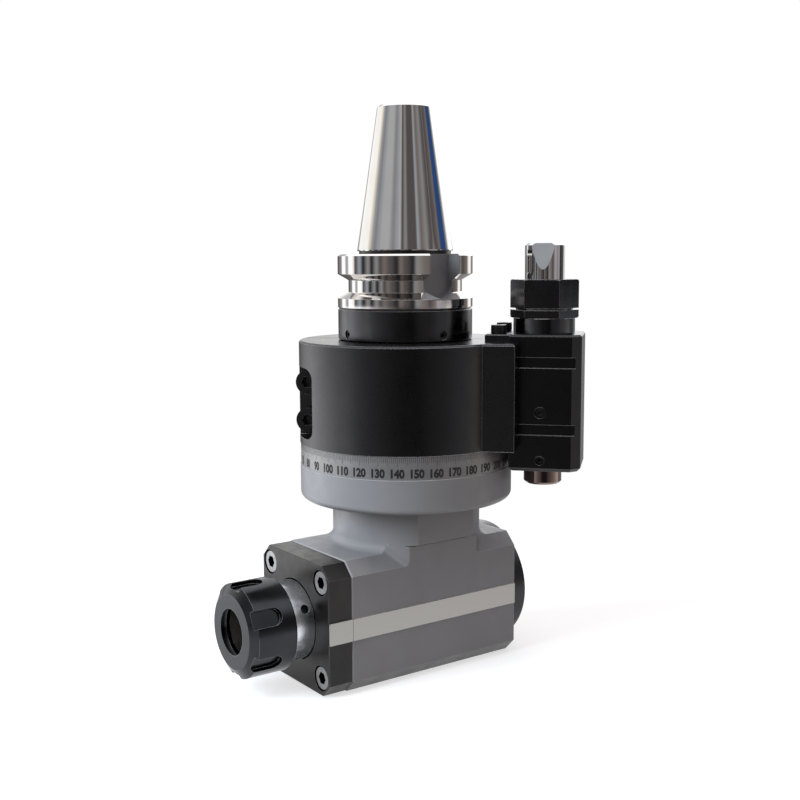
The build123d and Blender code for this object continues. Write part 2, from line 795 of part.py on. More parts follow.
# Gear housing: stem, flange, neck and the long casing, bored for both shafts
across_spindle = Plane(origin=(0, 0, spindle_height), x_dir=(1, 0, 0), z_dir=(0, -1, 0))
slope_reach = neck_radius + neck_fillet + cut_margin
with BuildPart() as gear_housing:
    with BuildSketch(across_spindle.offset(-housing_rear)):
        with BuildLine():
            flat_end = housing_width / 2 - corner_chamfer
            slope_drop = slope_reach - flat_end
            Polyline(
                (flat_end, housing_height / 2),
                (slope_reach, housing_height / 2 - slope_drop),
                (slope_reach, -housing_height / 2),
                (-slope_reach, -housing_height / 2),
                (-slope_reach, housing_height / 2 - slope_drop),
                (-flat_end, housing_height / 2),
                close=True,
            )
        make_face()
    extrude(amount=housing_rear - housing_front)
    with BuildSketch(Plane.XY.offset(spindle_height)):
        Circle(neck_radius)
    extrude(amount=head_flange_bottom - spindle_height)
    neck_edges = edges().filter_by(lambda edge: edge.geom_type != GeomType.LINE)
    fillet(neck_edges.filter_by(lambda edge: edge.center().Z < head_flange_bottom - 1), neck_fillet)
    with BuildSketch(across_spindle.offset(-housing_rear)):
        with BuildLine():
            top = stem_top - spindle_height
            ledge = neck_ledge - spindle_height
            Polyline(
                (neck_half_width, top),
                (neck_half_width, ledge),
                (housing_width / 2 - neck_relief, ledge),
                (housing_width / 2 - neck_relief, ledge - neck_relief),
                (housing_width / 2, ledge - neck_relief),
                (housing_width / 2, corner_chamfer - housing_height / 2),
                (flat_end, -housing_height / 2),
                (-flat_end, -housing_height / 2),
                (-housing_width / 2, corner_chamfer - housing_height / 2),
                (-housing_width / 2, ledge - neck_relief),
                (neck_relief - housing_width / 2, ledge - neck_relief),
                (neck_relief - housing_width / 2, ledge),
                (-neck_half_width, ledge),
                (-neck_half_width, top),
                close=True,
            )
        make_face()
    extrude(amount=housing_rear - housing_front, mode=Mode.INTERSECT)
    with BuildSketch(Plane.XY.offset(head_flange_bottom)):
        Circle(head_flange_radius)
    extrude(amount=head_flange_height)
    flange_edges = edges().filter_by(GeomType.CIRCLE).sort_by(SortBy.RADIUS)[-2:]
    fillet(flange_edges.sort_by(Axis.Z)[0], head_flange_round)
    with BuildSketch(Plane.XY.offset(dial_bottom)):
        Circle(stem_radius)
    extrude(amount=stem_top - dial_bottom)
    for side in (-1, 1):
        with Locations((side * housing_width / 2, (housing_front + housing_rear) / 2, spindle_height)):
            Box(2 * strip_proud, housing_rear - housing_front, strip_height)
    with BuildSketch(Plane.XY.offset(stem_top)):
        Circle(upper_bearing_size[1])
    extrude(amount=upper_bearing_bottom - stem_top, mode=Mode.SUBTRACT)
    with BuildSketch(Plane.XY.offset(stem_top)):
        Circle(lower_bearing_size[1])
    extrude(amount=lower_bearing_bottom - stem_top, mode=Mode.SUBTRACT)
    with BuildSketch(Plane.XY.offset(stem_top)):
        Circle(shaft_bore_radius)
    extrude(amount=shaft_bore_bottom - stem_top, mode=Mode.SUBTRACT)
    with BuildSketch(rear_frame.offset(housing_rear)):
        Circle(chamber_radius)
    extrude(amount=chamber_front - housing_rear, mode=Mode.SUBTRACT)
    with BuildSketch(rear_frame.offset(housing_rear)):
        Circle(rear_bearing_size[1])
    extrude(amount=rear_bearing_start - housing_rear, mode=Mode.SUBTRACT)
    with BuildSketch(spindle_frame.offset(-housing_front)):
        Circle(front_bearing_size[1])
    extrude(amount=-front_rows_width, mode=Mode.SUBTRACT)
    with BuildSketch(spindle_frame.offset(-housing_front)):
        Circle(middle_bore_radius)
    extrude(amount=housing_front - chamber_front, mode=Mode.SUBTRACT)
    with BuildSketch(spindle_frame.offset(-housing_front)):
        with GridLocations(2 * cover_screw_x, 2 * cover_screw_z, 2, 2):
            Circle(cover_screw_radius + fit_gap)
    extrude(amount=cover_thickness - counterbore_depth - cover_screw_length - cut_margin, mode=Mode.SUBTRACT)
    front_face = faces().filter_by(Axis.Y).sort_by(Axis.Y)[0]
    chamfer(front_face.outer_wire().edges(), housing_edge)
save(gear_housing.part, "gear_housing")
save(ring(arbor_frame, dial_radius, stem_radius + fit_gap, dial_bottom, dial_top), "dial_ring")

# Front cover with its screws
with BuildPart() as front_cover:
    with BuildSketch(across_spindle.offset(-housing_front)):
        with BuildLine():
            Polyline(*housing_outline(cover_inset), close=True)
        make_face()
    extrude(amount=cover_thickness)
    for side in (-1, 1):
        with Locations((side * housing_width / 2, housing_front - cover_thickness / 2, spindle_height)):
            Box(2 * strip_proud, cover_thickness, strip_height)
    chamfer(faces().sort_by(Axis.Y)[0].edges(), cover_chamfer)
    with BuildSketch(across_spindle.offset(cover_front)):
        Circle(cover_bore_radius)
    extrude(amount=-cover_thickness, mode=Mode.SUBTRACT)
    with Locations(across_spindle.offset(cover_front)):
        with GridLocations(2 * cover_screw_x, 2 * cover_screw_z, 2, 2):
            CounterBoreHole(
                cover_screw_radius + cover_screw_clearance,
                counterbore_radius,
                counterbore_depth,
                cover_thickness,
            )
save(front_cover.part, "front_cover")
cover_screw_frames = [
    Plane(
        origin=(x, -cover_front + counterbore_depth, spindle_height + z), x_dir=(1, 0, 0), z_dir=(0, -1, 0)
    )
    for x in (-cover_screw_x, cover_screw_x)
    for z in (-cover_screw_z, cover_screw_z)
]
save(
    socket_screw(cover_screw_frames, cover_screw_radius, cover_screw_length, medium_head),
    "cover_screws",
)

# Rear cap
cap_spigot = housing_rear - rear_nut_start
with BuildPart() as rear_cap:
    with BuildSketch(rear_frame.offset(housing_rear)):
        Circle(cap_radius)
    extrude(amount=cap_thickness)
    fillet(edges().filter_by(GeomType.CIRCLE).sort_by(Axis.Y)[-1], cap_round)
    with BuildSketch(rear_frame.offset(housing_rear - cap_spigot)):
        Circle(rear_bearing_size[1] - fit_gap)
    extrude(amount=cap_spigot)
    with BuildSketch(rear_frame.offset(housing_rear - cap_spigot)):
        Circle(cap_recess_radius)
    extrude(amount=cap_spigot + cap_recess_end, mode=Mode.SUBTRACT)
    with BuildSketch(rear_frame.offset(housing_rear + cap_thickness)):
        with PolarLocations(cap_hole_place, cap_hole_count, start_angle=45):
            Circle(spanner_hole_radius)
    extrude(amount=-cap_hole_depth, mode=Mode.SUBTRACT)
save(rear_cap.part, "rear_cap")

# Clamp body: a split ring with a pad for the pin block
front_plane = Plane(origin=(0, 0, 0), x_dir=pin_direction, z_dir=front_direction)
clamp_screw_frames = [
    Plane(
        origin=front_direction * clamp_pocket_floor
        - pin_direction * clamp_axis
        + Vector(0, 0, clamp_screw_centre + side * clamp_screw_spacing / 2),
        x_dir=pin_direction,
        z_dir=front_direction,
    )
    for side in (-1, 1)
]
block_screw_frames = [
    Plane(
        origin=pin_direction * block_screw_seat + front_direction * offset + Vector(0, 0, height),
        x_dir=front_direction,
        z_dir=-pin_direction,
    )
    for offset in (-block_screw_offset, block_screw_offset)
    for height in block_screw_heights
]
plate_screw_frames = [
    Plane(
        origin=pin_direction * plate_screw_reach
        + front_direction * (side * plate_screw_spacing / 2)
        + Vector(0, 0, body_top + plate_thickness),
        x_dir=pin_direction,
        z_dir=(0, 0, 1),
    )
    for side in (-1, 1)
]
with BuildPart() as clamp_body:
    with BuildSketch(body_frame.offset(body_bottom)):
        Circle(body_radius)
        with Locations((pad_reach / 2, 0)):
            Rectangle(pad_reach, 2 * pad_half_width)
    extrude(amount=body_height)
    chamfer(faces().sort_by(Axis.Z)[-1].edges(), edge_break)
    with BuildSketch(body_frame.offset(body_bottom)):
        Circle(stem_radius + running_gap)
    extrude(amount=body_height - body_web, mode=Mode.SUBTRACT)
    with BuildSketch(body_frame.offset(body_bottom)):
        Circle(body_opening_radius)
    extrude(amount=body_height, mode=Mode.SUBTRACT)
    with BuildSketch(body_frame.offset(body_bottom)):
        with Locations(((block_inner + pad_reach + cut_margin) / 2, 0)):
            Rectangle(pad_reach - block_inner + cut_margin, 2 * (block_half_depth + fit_gap))
        with Locations((-body_radius, 0)):
            Rectangle(body_radius, split_width)
    extrude(amount=body_height, mode=Mode.SUBTRACT)
    with BuildSketch(front_plane.offset(clamp_pocket_floor)):
        with Locations((-clamp_pocket_inner - body_radius / 2, clamp_pocket_centre)):
            RectangleRounded(body_radius, clamp_pocket_height, clamp_pocket_corner)
    extrude(amount=body_radius, mode=Mode.SUBTRACT)
    for screw_frame in clamp_screw_frames:
        with BuildSketch(screw_frame):
            Circle(clamp_screw_radius + fit_gap)
        extrude(amount=-clamp_screw_length - cut_margin, mode=Mode.SUBTRACT)
    for screw_frame in block_screw_frames:
        with BuildSketch(screw_frame):
            Circle(block_screw_radius + fit_gap)
        extrude(amount=-(block_inner - block_screw_seat), mode=Mode.SUBTRACT)
        with BuildSketch(screw_frame):
            Circle(small_head[0] + head_clearance)
        extrude(amount=block_screw_seat - body_opening_radius, mode=Mode.SUBTRACT)
    for screw_frame in plate_screw_frames:
        with BuildSketch(screw_frame):
            Circle(plate_screw_radius + fit_gap)
        extrude(amount=-plate_screw_length - cut_margin, mode=Mode.SUBTRACT)
    with BuildSketch(body_frame.offset(body_top)):
        with Locations(keyway_place):
            SlotOverall(*keyway_size)
    extrude(amount=-keyway_depth, mode=Mode.SUBTRACT)
save(clamp_body.part, "clamp_body")
save(
    socket_screw(clamp_screw_frames, clamp_screw_radius, clamp_screw_length, clamp_head),
    "clamp_screws",
)

# Pin block
block_height = block_top - block_bottom
block_screw_length = block_screw_end - block_screw_seat
pin_chamber_radius = pin_collar_radius + running_gap
face_point = pin_point + front_direction * block_half_depth
key_screw_frame = Plane(
    origin=face_point + Vector(0, 0, key_screw_height) - front_direction * block_set_screw_depth,
    x_dir=pin_direction,
    z_dir=front_direction,
)
tail_screw_frame = Plane(
    origin=face_point + Vector(0, 0, tail_screw_height) - front_direction * block_set_screw_depth,
    x_dir=pin_direction,
    z_dir=front_direction,
)
with BuildPart() as pin_block:
    with BuildSketch(body_frame.offset(block_bottom)):
        with Locations(((block_inner + block_outer) / 2, 0)):
            Rectangle(block_outer - block_inner, 2 * block_half_depth)
        chamfer(vertices().sort_by_distance((0, 0, 0))[-2:], block_chamfer)
    extrude(amount=block_height)
    chamfer(faces().sort_by(Axis.Z)[0].edges(), block_foot_chamfer)
    chamfer(faces().sort_by(Axis.Z)[-1].edges(), edge_break)
    with BuildSketch(front_plane.offset(block_half_depth)):
        for height in block_groove_centres:
            with Locations(((block_inner + block_outer) / 2, height)):
                Rectangle(block_outer - block_inner + cut_margin, block_groove_height)
    extrude(amount=-block_groove_depth, mode=Mode.SUBTRACT)
    with BuildSketch(pin_frame.offset(block_top)):
        Circle(guide_thread_radius + fit_gap)
    extrude(amount=pin_collar_top - block_top, mode=Mode.SUBTRACT)
    with BuildSketch(pin_frame.offset(block_top)):
        Circle(pin_chamber_radius)
    extrude(amount=spring_floor - block_top, mode=Mode.SUBTRACT)
    with BuildSketch(pin_frame.offset(block_top)):
        Circle(pin_tail_radius + running_gap)
    extrude(amount=-block_height, mode=Mode.SUBTRACT)
    for screw_frame, radius in ((key_screw_frame, key_screw_radius), (tail_screw_frame, tail_screw_radius)):
        with BuildSketch(screw_frame.offset(block_set_screw_depth + cut_margin)):
            Circle(radius + fit_gap)
        extrude(amount=-block_half_depth, mode=Mode.SUBTRACT)
    for screw_frame in block_screw_frames:
        with BuildSketch(screw_frame.offset(-(block_inner - block_screw_seat))):
            Circle(block_screw_radius + fit_gap)
        extrude(amount=block_inner - block_screw_end, mode=Mode.SUBTRACT)
save(pin_block.part, "pin_block")
save(
    socket_screw(block_screw_frames, block_screw_radius, block_screw_length, small_head),
    "block_screws",
)
tail_screw_length = block_half_depth - block_set_screw_depth - pin_tail_radius - tail_screw_gap
save(
    set_screw([tail_screw_frame], tail_screw_radius, tail_screw_length, tail_screw_hexagon),
    "tail_screw",
)
key_body_length = block_half_depth - block_set_screw_depth - pin_chamber_radius
key_tip_length = pin_chamber_radius - pin_tail_radius - key_tip_gap
with BuildPart() as key_screw:
    add(set_screw([key_screw_frame], key_screw_radius, key_body_length, key_screw_hexagon))
    with BuildSketch(key_screw_frame.offset(-key_body_length)):
        Circle(key_tip_radius)
    extrude(amount=-key_tip_length)
save(key_screw.part, "key_screw")

# Guide sleeve of the locating pin
sleeve_end = pin_collar_top + running_gap
with BuildPart() as guide_sleeve:
    with BuildSketch(pin_frame.offset(guide_hex_bottom)):
        RegularPolygon(guide_hex_across / 2, 6, major_radius=False)
    extrude(amount=guide_hex_top - guide_hex_bottom)
    with BuildSketch(section_of(pin_frame)):
        with BuildLine():
            hex_corner = guide_hex_across / 2 / math.cos(math.radians(30))
            guide_groove_root = guide_hex_across / 2 - guide_groove_depth
            Polyline(
                (0, guide_hex_top),
                (hex_corner - guide_corner_chamfer, guide_hex_top),
                (hex_corner, guide_hex_top - guide_corner_chamfer),
                (hex_corner, guide_groove_height + guide_groove_width / 2),
                (guide_groove_root, guide_groove_height + guide_groove_width / 2),
                (guide_groove_root, guide_groove_height - guide_groove_width / 2),
                (hex_corner, guide_groove_height - guide_groove_width / 2),
                (hex_corner, guide_hex_bottom + guide_corner_chamfer),
                (hex_corner - guide_corner_chamfer, guide_hex_bottom),
                (0, guide_hex_bottom),
                close=True,
            )
        make_face()
    revolve(axis=axis_of(pin_frame), mode=Mode.INTERSECT)
    with BuildSketch(pin_frame.offset(guide_hex_bottom)):
        Circle(guide_neck_radius)
    extrude(amount=block_top - guide_hex_bottom)
    with BuildSketch(pin_frame.offset(block_top)):
        Circle(guide_thread_radius)
    extrude(amount=sleeve_end - block_top)
    with BuildSketch(pin_frame.offset(guide_hex_top)):
        Circle(pin_radius + running_gap)
    extrude(amount=sleeve_end - guide_hex_top, mode=Mode.SUBTRACT)
save(guide_sleeve.part, "guide_sleeve")

# Locating pin, with a wedge-shaped tip and a collar that the spring pushes up
collar_slot_end = key_screw_height - key_tip_radius - collar_slot_play
wedge_tangent = math.tan(math.radians(wedge_angle))
wedge_length = (pin_radius - wedge_offset) / wedge_tangent
pin_collar_bottom = pin_collar_top - pin_collar_height
with BuildPart() as locating_pin:
    with BuildSketch(section_of(pin_frame)):
        with BuildLine():
            Polyline(
                (0, pin_top),
                (pin_radius - end_chamfer, pin_top),
                (pin_radius, pin_top - end_chamfer),
                (pin_radius, pin_collar_top),
                (pin_collar_radius, pin_collar_top),
                (pin_collar_radius, pin_collar_bottom),
                (pin_tail_radius, pin_collar_bottom),
                (pin_tail_radius, pin_tail_end + end_chamfer),
                (pin_tail_radius - end_chamfer, pin_tail_end),
                (0, pin_tail_end),
                close=True,
            )
        make_face()
    revolve(axis=axis_of(pin_frame))
    for side in (-1, 1):
        flat_plane = Plane(origin=pin_point, x_dir=front_direction * side, z_dir=pin_direction * -side)
        with BuildSketch(flat_plane):
            with BuildLine():
                Polyline(
                    (wedge_offset - cut_margin * wedge_tangent, pin_top + cut_margin),
                    (
                        wedge_offset + (wedge_length + cut_margin) * wedge_tangent,
                        pin_top - wedge_length - cut_margin,
                    ),
                    (2 * pin_radius, pin_top + cut_margin),
                    close=True,
                )
            make_face()
        extrude(amount=pin_radius, both=True, mode=Mode.SUBTRACT)
    with BuildSketch(front_plane.offset(pin_tail_radius)):
        with Locations((pin_distance, (pin_collar_top + collar_slot_end) / 2)):
            Rectangle(2 * (key_tip_radius + running_gap), pin_collar_top - collar_slot_end)
    extrude(amount=pin_collar_radius, mode=Mode.SUBTRACT)
save(locating_pin.part, "locating_pin")
spring_rise = pin_collar_bottom - spring_floor - spring_wire - 2 * running_gap
with BuildPart() as pin_spring:
    spring_start = pin_frame.offset(spring_floor + spring_wire / 2 + running_gap)
    with BuildLine(spring_start):
        coil = Helix(spring_rise / spring_turns, spring_rise, spring_radius)
    with BuildSketch(Plane(origin=coil @ 0, x_dir=pin_direction, z_dir=coil % 0)):
        Rectangle(spring_wire, spring_wire)
    sweep(path=coil, is_frenet=True)
save(pin_spring.part, "pin_spring")

# Key plate on top of the clamp body
with BuildPart() as key_plate:
    with BuildSketch(body_frame.offset(body_top)):
        with Locations(((plate_inner + block_inner) / 2, 0)):
            Rectangle(block_inner - plate_inner, 2 * plate_half_width)
    extrude(amount=plate_thickness)
    chamfer(faces().sort_by(Axis.Z)[-1].edges(), plate_chamfer)
    for screw_frame in plate_screw_frames:
        with BuildSketch(screw_frame):
            Circle(plate_screw_radius + fit_gap)
        extrude(amount=-plate_thickness, mode=Mode.SUBTRACT)
save(key_plate.part, "key_plate")
save(
    socket_screw(plate_screw_frames, plate_screw_radius, plate_screw_length, small_head),
    "plate_screws",
)
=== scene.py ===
"""Looks of a right-angle milling head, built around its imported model: studio, finishes and fine forms."""

from __future__ import annotations

import logging
import math
from dataclasses import dataclass, field, replace
from enum import Enum
from typing import ClassVar

import bmesh
import bpy
from mathutils import Matrix, Vector

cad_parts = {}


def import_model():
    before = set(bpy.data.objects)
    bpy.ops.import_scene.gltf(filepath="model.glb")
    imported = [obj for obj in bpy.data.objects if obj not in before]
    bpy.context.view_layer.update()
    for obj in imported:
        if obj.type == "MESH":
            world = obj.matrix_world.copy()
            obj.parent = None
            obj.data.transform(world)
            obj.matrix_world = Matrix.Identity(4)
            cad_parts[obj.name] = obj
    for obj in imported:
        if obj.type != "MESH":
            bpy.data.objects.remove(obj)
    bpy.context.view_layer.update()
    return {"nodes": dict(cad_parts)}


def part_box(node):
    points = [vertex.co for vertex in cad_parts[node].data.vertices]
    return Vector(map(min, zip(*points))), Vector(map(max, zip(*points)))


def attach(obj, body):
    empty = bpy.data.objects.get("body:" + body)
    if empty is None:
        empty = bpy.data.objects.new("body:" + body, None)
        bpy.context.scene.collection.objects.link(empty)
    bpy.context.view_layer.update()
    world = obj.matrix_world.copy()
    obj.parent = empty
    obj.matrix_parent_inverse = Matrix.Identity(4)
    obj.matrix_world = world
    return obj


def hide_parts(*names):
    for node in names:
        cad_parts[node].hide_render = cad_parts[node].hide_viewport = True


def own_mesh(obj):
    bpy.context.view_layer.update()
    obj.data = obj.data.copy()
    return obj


LOG = logging.getLogger("angle_head")
MM = 0.001

Colour = tuple[float, float, float]
Point = tuple[float, float, float]
Face = tuple[int, ...]
Span = tuple[float, float]
Socket = bpy.types.NodeSocket
Inputs = dict[str | int, object]

SPINDLE_HEIGHT = -165.3 * MM
PIN_AZIMUTH = math.radians(42.0)
FULL_TURN = 360
WHITE: Colour = (1.0, 1.0, 1.0)
X_AXIS: Point = (1.0, 0.0, 0.0)
Z_AXIS: Point = (0.0, 0.0, 1.0)
ACROSS_ARBOR: Point = (1.0, 1.0, 0.0)
ACROSS_SPINDLE: Point = (1.0, 0.0, 1.0)

BEVEL_SAMPLES = 6
MERGE_DISTANCE = 1e-7


class TurningAxis(Enum):
    """The axis that a surface was turned or ground about, which its fine lines run round."""

    NONE = "none"
    ARBOR = "arbor"
    SPINDLE = "spindle"


class NodeTree:
    """The node tree of a material or a world, with the few moves that the finishes need."""

    def __init__(self, tree: bpy.types.NodeTree) -> None:
        """Keep the tree and its nodes."""
        self.tree = tree
        self.nodes = tree.nodes

    def feed(self, node: bpy.types.Node, inputs: Inputs) -> None:
        """Give inputs of a node what they take.

        Args:
            node: The node.
            inputs: Outputs of other nodes or plain values, by the input's name or number.
        """
        for place, value in inputs.items():
            if isinstance(value, Socket):
                self.tree.links.new(value, node.inputs[place])
            else:
                node.inputs[place].default_value = value

    def add(self, kind: str, inputs: Inputs | None = None, **settings: object) -> bpy.types.Node:
        """Add a node.

        Args:
            kind: Type of the node.
            inputs: What its inputs take.
            settings: Values for its own properties.

        Returns:
            The new node.
        """
        node = self.nodes.new(kind)
        for name, value in settings.items():
            setattr(node, name, value)
        self.feed(node, inputs or {})
        return node

    def maths(self, operation: str, *values: object) -> Socket:
        """Work out a number.

        Args:
            operation: The sum to do.
            values: Its inputs, as outputs of nodes or as numbers.

        Returns:
            The result.
        """
        inputs = dict(enumerate(values))
        return self.add("ShaderNodeMath", inputs, operation=operation).outputs["Value"]

    def vector(self, operation: str, *values: object) -> Socket:
        """Work out a vector, or the number that some sums of vectors give.

        Args:
            operation: The sum to do.
            values: Its inputs, as outputs of nodes or as vectors.

        Returns:
            The result.
        """
        node = self.add("ShaderNodeVectorMath", dict(enumerate(values)), operation=operation)
        return node.outputs["Value" if operation in ("DOT_PRODUCT", "LENGTH") else "Vector"]

    def split(self, vector: Socket) -> bpy.types.NodeOutputs:
        """Split a vector into its X, Y and Z."""
        return self.add("ShaderNodeSeparateXYZ", {"Vector": vector}).outputs

    def join(self, **parts: Socket) -> Socket:
        """Join X, Y and Z into a vector."""
        return self.add("ShaderNodeCombineXYZ", parts).outputs["Vector"]

    def blend(self, factor: Socket, first: object, second: object) -> Socket:
        """Mix two colours.

        Args:
            factor: Share of the second.
            first: The first colour.
            second: The second colour.

        Returns:
            The mixed colour.
        """
        first, second = (value if isinstance(value, Socket) else (*value, 1.0) for value in (first, second))
        return self.blend_value(factor, first, second, "RGBA")

    def blend_value(self, factor: Socket, first: object, second: object, kind: str = "FLOAT") -> Socket:
        """Mix two values.

        Args:
            factor: Share of the second.
            first: The first value.
            second: The second value.
            kind: Type of both.

        Returns:
            The mixed value.
        """
        inputs = {"Factor": factor, "A": first, "B": second}
        return self.add("ShaderNodeMix", inputs, data_type=kind).outputs["Result"]

    def noise(self, point: Socket, size: float, detail: float) -> Socket:
        """A noise value from 0 to 1.

        Args:
            point: Where it is read.
            size: Size of its patches, in metres.
            detail: Number of finer layers.

        Returns:
            The noise value.
        """
        inputs = {"Vector": point, "Scale": 1 / size, "Detail": detail}
        return self.add("ShaderNodeTexNoise", inputs).outputs["Fac"]

    def from_spindle(self, point: Socket) -> Socket:
        """A point of the part's frame, as seen from the spindle's height."""
        return self.vector("SUBTRACT", point, (0.0, 0.0, SPINDLE_HEIGHT))

    def distance(self, point: Socket, across: Point) -> Socket:
        """Distance of a point from an axis through the origin, with across as 1 across it and 0 along it."""
        return self.vector("LENGTH", self.vector("MULTIPLY", point, across))

    def spread(self, value: Socket, low: float, high: float, span: Span = (0.3, 0.7)) -> Socket:
        """Spread a value over a range.

        Args:
            value: The value.
            low: Result at the start.
            high: Result at the end.
            span: Values that give the low and the high result.

        Returns:
            The spread value.
        """
        limits = {"From Min": span[0], "From Max": span[1], "To Min": low, "To Max": high}
        return self.add("ShaderNodeMapRange", {"Value": value, **limits}).outputs["Result"]

    def direct(self) -> Socket:
        """1 for the camera's own rays, and 0 for the others."""
        return self.add("ShaderNodeLightPath").outputs["Is Camera Ray"]

    def mirrored(self) -> Socket:
        """1 for the rays that metal and glass send on, and 0 for the others."""
        rays = self.add("ShaderNodeLightPath").outputs
        return self.maths("ADD", rays["Is Glossy Ray"], rays["Is Transmission Ray"])

    def rounded(self, radius: float) -> Socket:
        """The surface's normal with its edges rounded."""
        return self.add("ShaderNodeBevel", {"Radius": radius}, samples=BEVEL_SAMPLES).outputs["Normal"]

    def bump(self, height: Socket, depth: float, normal: Socket) -> Socket:
        """Raise a normal by a height.

        Args:
            height: The height, from 0 to 1.
            depth: What 1 stands for, in metres.
            normal: The normal below.

        Returns:
            The raised normal.
        """
        inputs = {"Height": height, "Distance": depth, "Normal": normal}
        return self.add("ShaderNodeBump", inputs).outputs["Normal"]


def new_material(name: str) -> tuple[bpy.types.Material, NodeTree, bpy.types.Node]:
    """Make a material.

    Args:
        name: Its name.

    Returns:
        The material, its nodes and its shader.
    """
    material = bpy.data.materials.new(name)
    material.use_nodes = True
    tree = NodeTree(material.node_tree)
    return material, tree, tree.nodes["Principled BSDF"]


def new_object(name: str, data: bpy.types.ID) -> bpy.types.Object:
    """Make an object and put it into the scene.

    Args:
        name: Its name.
        data: Its mesh, curve, camera or light.

    Returns:
        The new object.
    """
    made = bpy.data.objects.new(name, data)
    bpy.context.scene.collection.objects.link(made)
    return made


@dataclass(frozen=True)
class Patch:
    """A part of a node with another finish, with painted shade or with a painted reflection, the same on both
    sides of the arbor.

    Attributes:
        low: Lowest distances from the arbor's planes, and lowest height, in millimetres.
        high: Highest distances and height.
        colour: Base colour there.
        roughness: Mean roughness there.
        metallic: 1 for bare metal.
        on_spindle: Whether the heights are counted from the spindle's axis.
        within: Largest distance from that axis, in millimetres.
    """

    low: Point
    high: Point
    colour: Colour
    roughness: float
    metallic: float = 1.0
    on_spindle: bool = False
    within: float = math.inf

    def mask(self, tree: NodeTree, point: Socket) -> Socket:
        """Find the patch.

        Args:
            tree: The material's nodes.
            point: The point in the part's frame.

        Returns:
            1 on the patch and 0 beside it.
        """
        middle = tuple((a + b) / 2 * MM for a, b in zip(self.low, self.high))
        half = tuple((b - a) / 2 * MM for a, b in zip(self.low, self.high))
        if self.on_spindle:
            point = tree.from_spindle(point)
        parts = tree.split(point)
        folded = tree.join(
            X=tree.maths("ABSOLUTE", parts["X"]), Y=tree.maths("ABSOLUTE", parts["Y"]), Z=parts["Z"]
        )
        reach = tree.vector("ABSOLUTE", tree.vector("SUBTRACT", folded, middle))
        spare = tree.split(tree.vector("SUBTRACT", reach, half))
        widest = tree.maths("MAXIMUM", spare["X"], spare["Y"])
        inside = tree.maths("LESS_THAN", tree.maths("MAXIMUM", widest, spare["Z"]), 0.0)
        if math.isinf(self.within):
            return inside
        near = tree.maths("LESS_THAN", tree.distance(point, ACROSS_SPINDLE), self.within * MM)
        return tree.maths("MULTIPLY", inside, near)


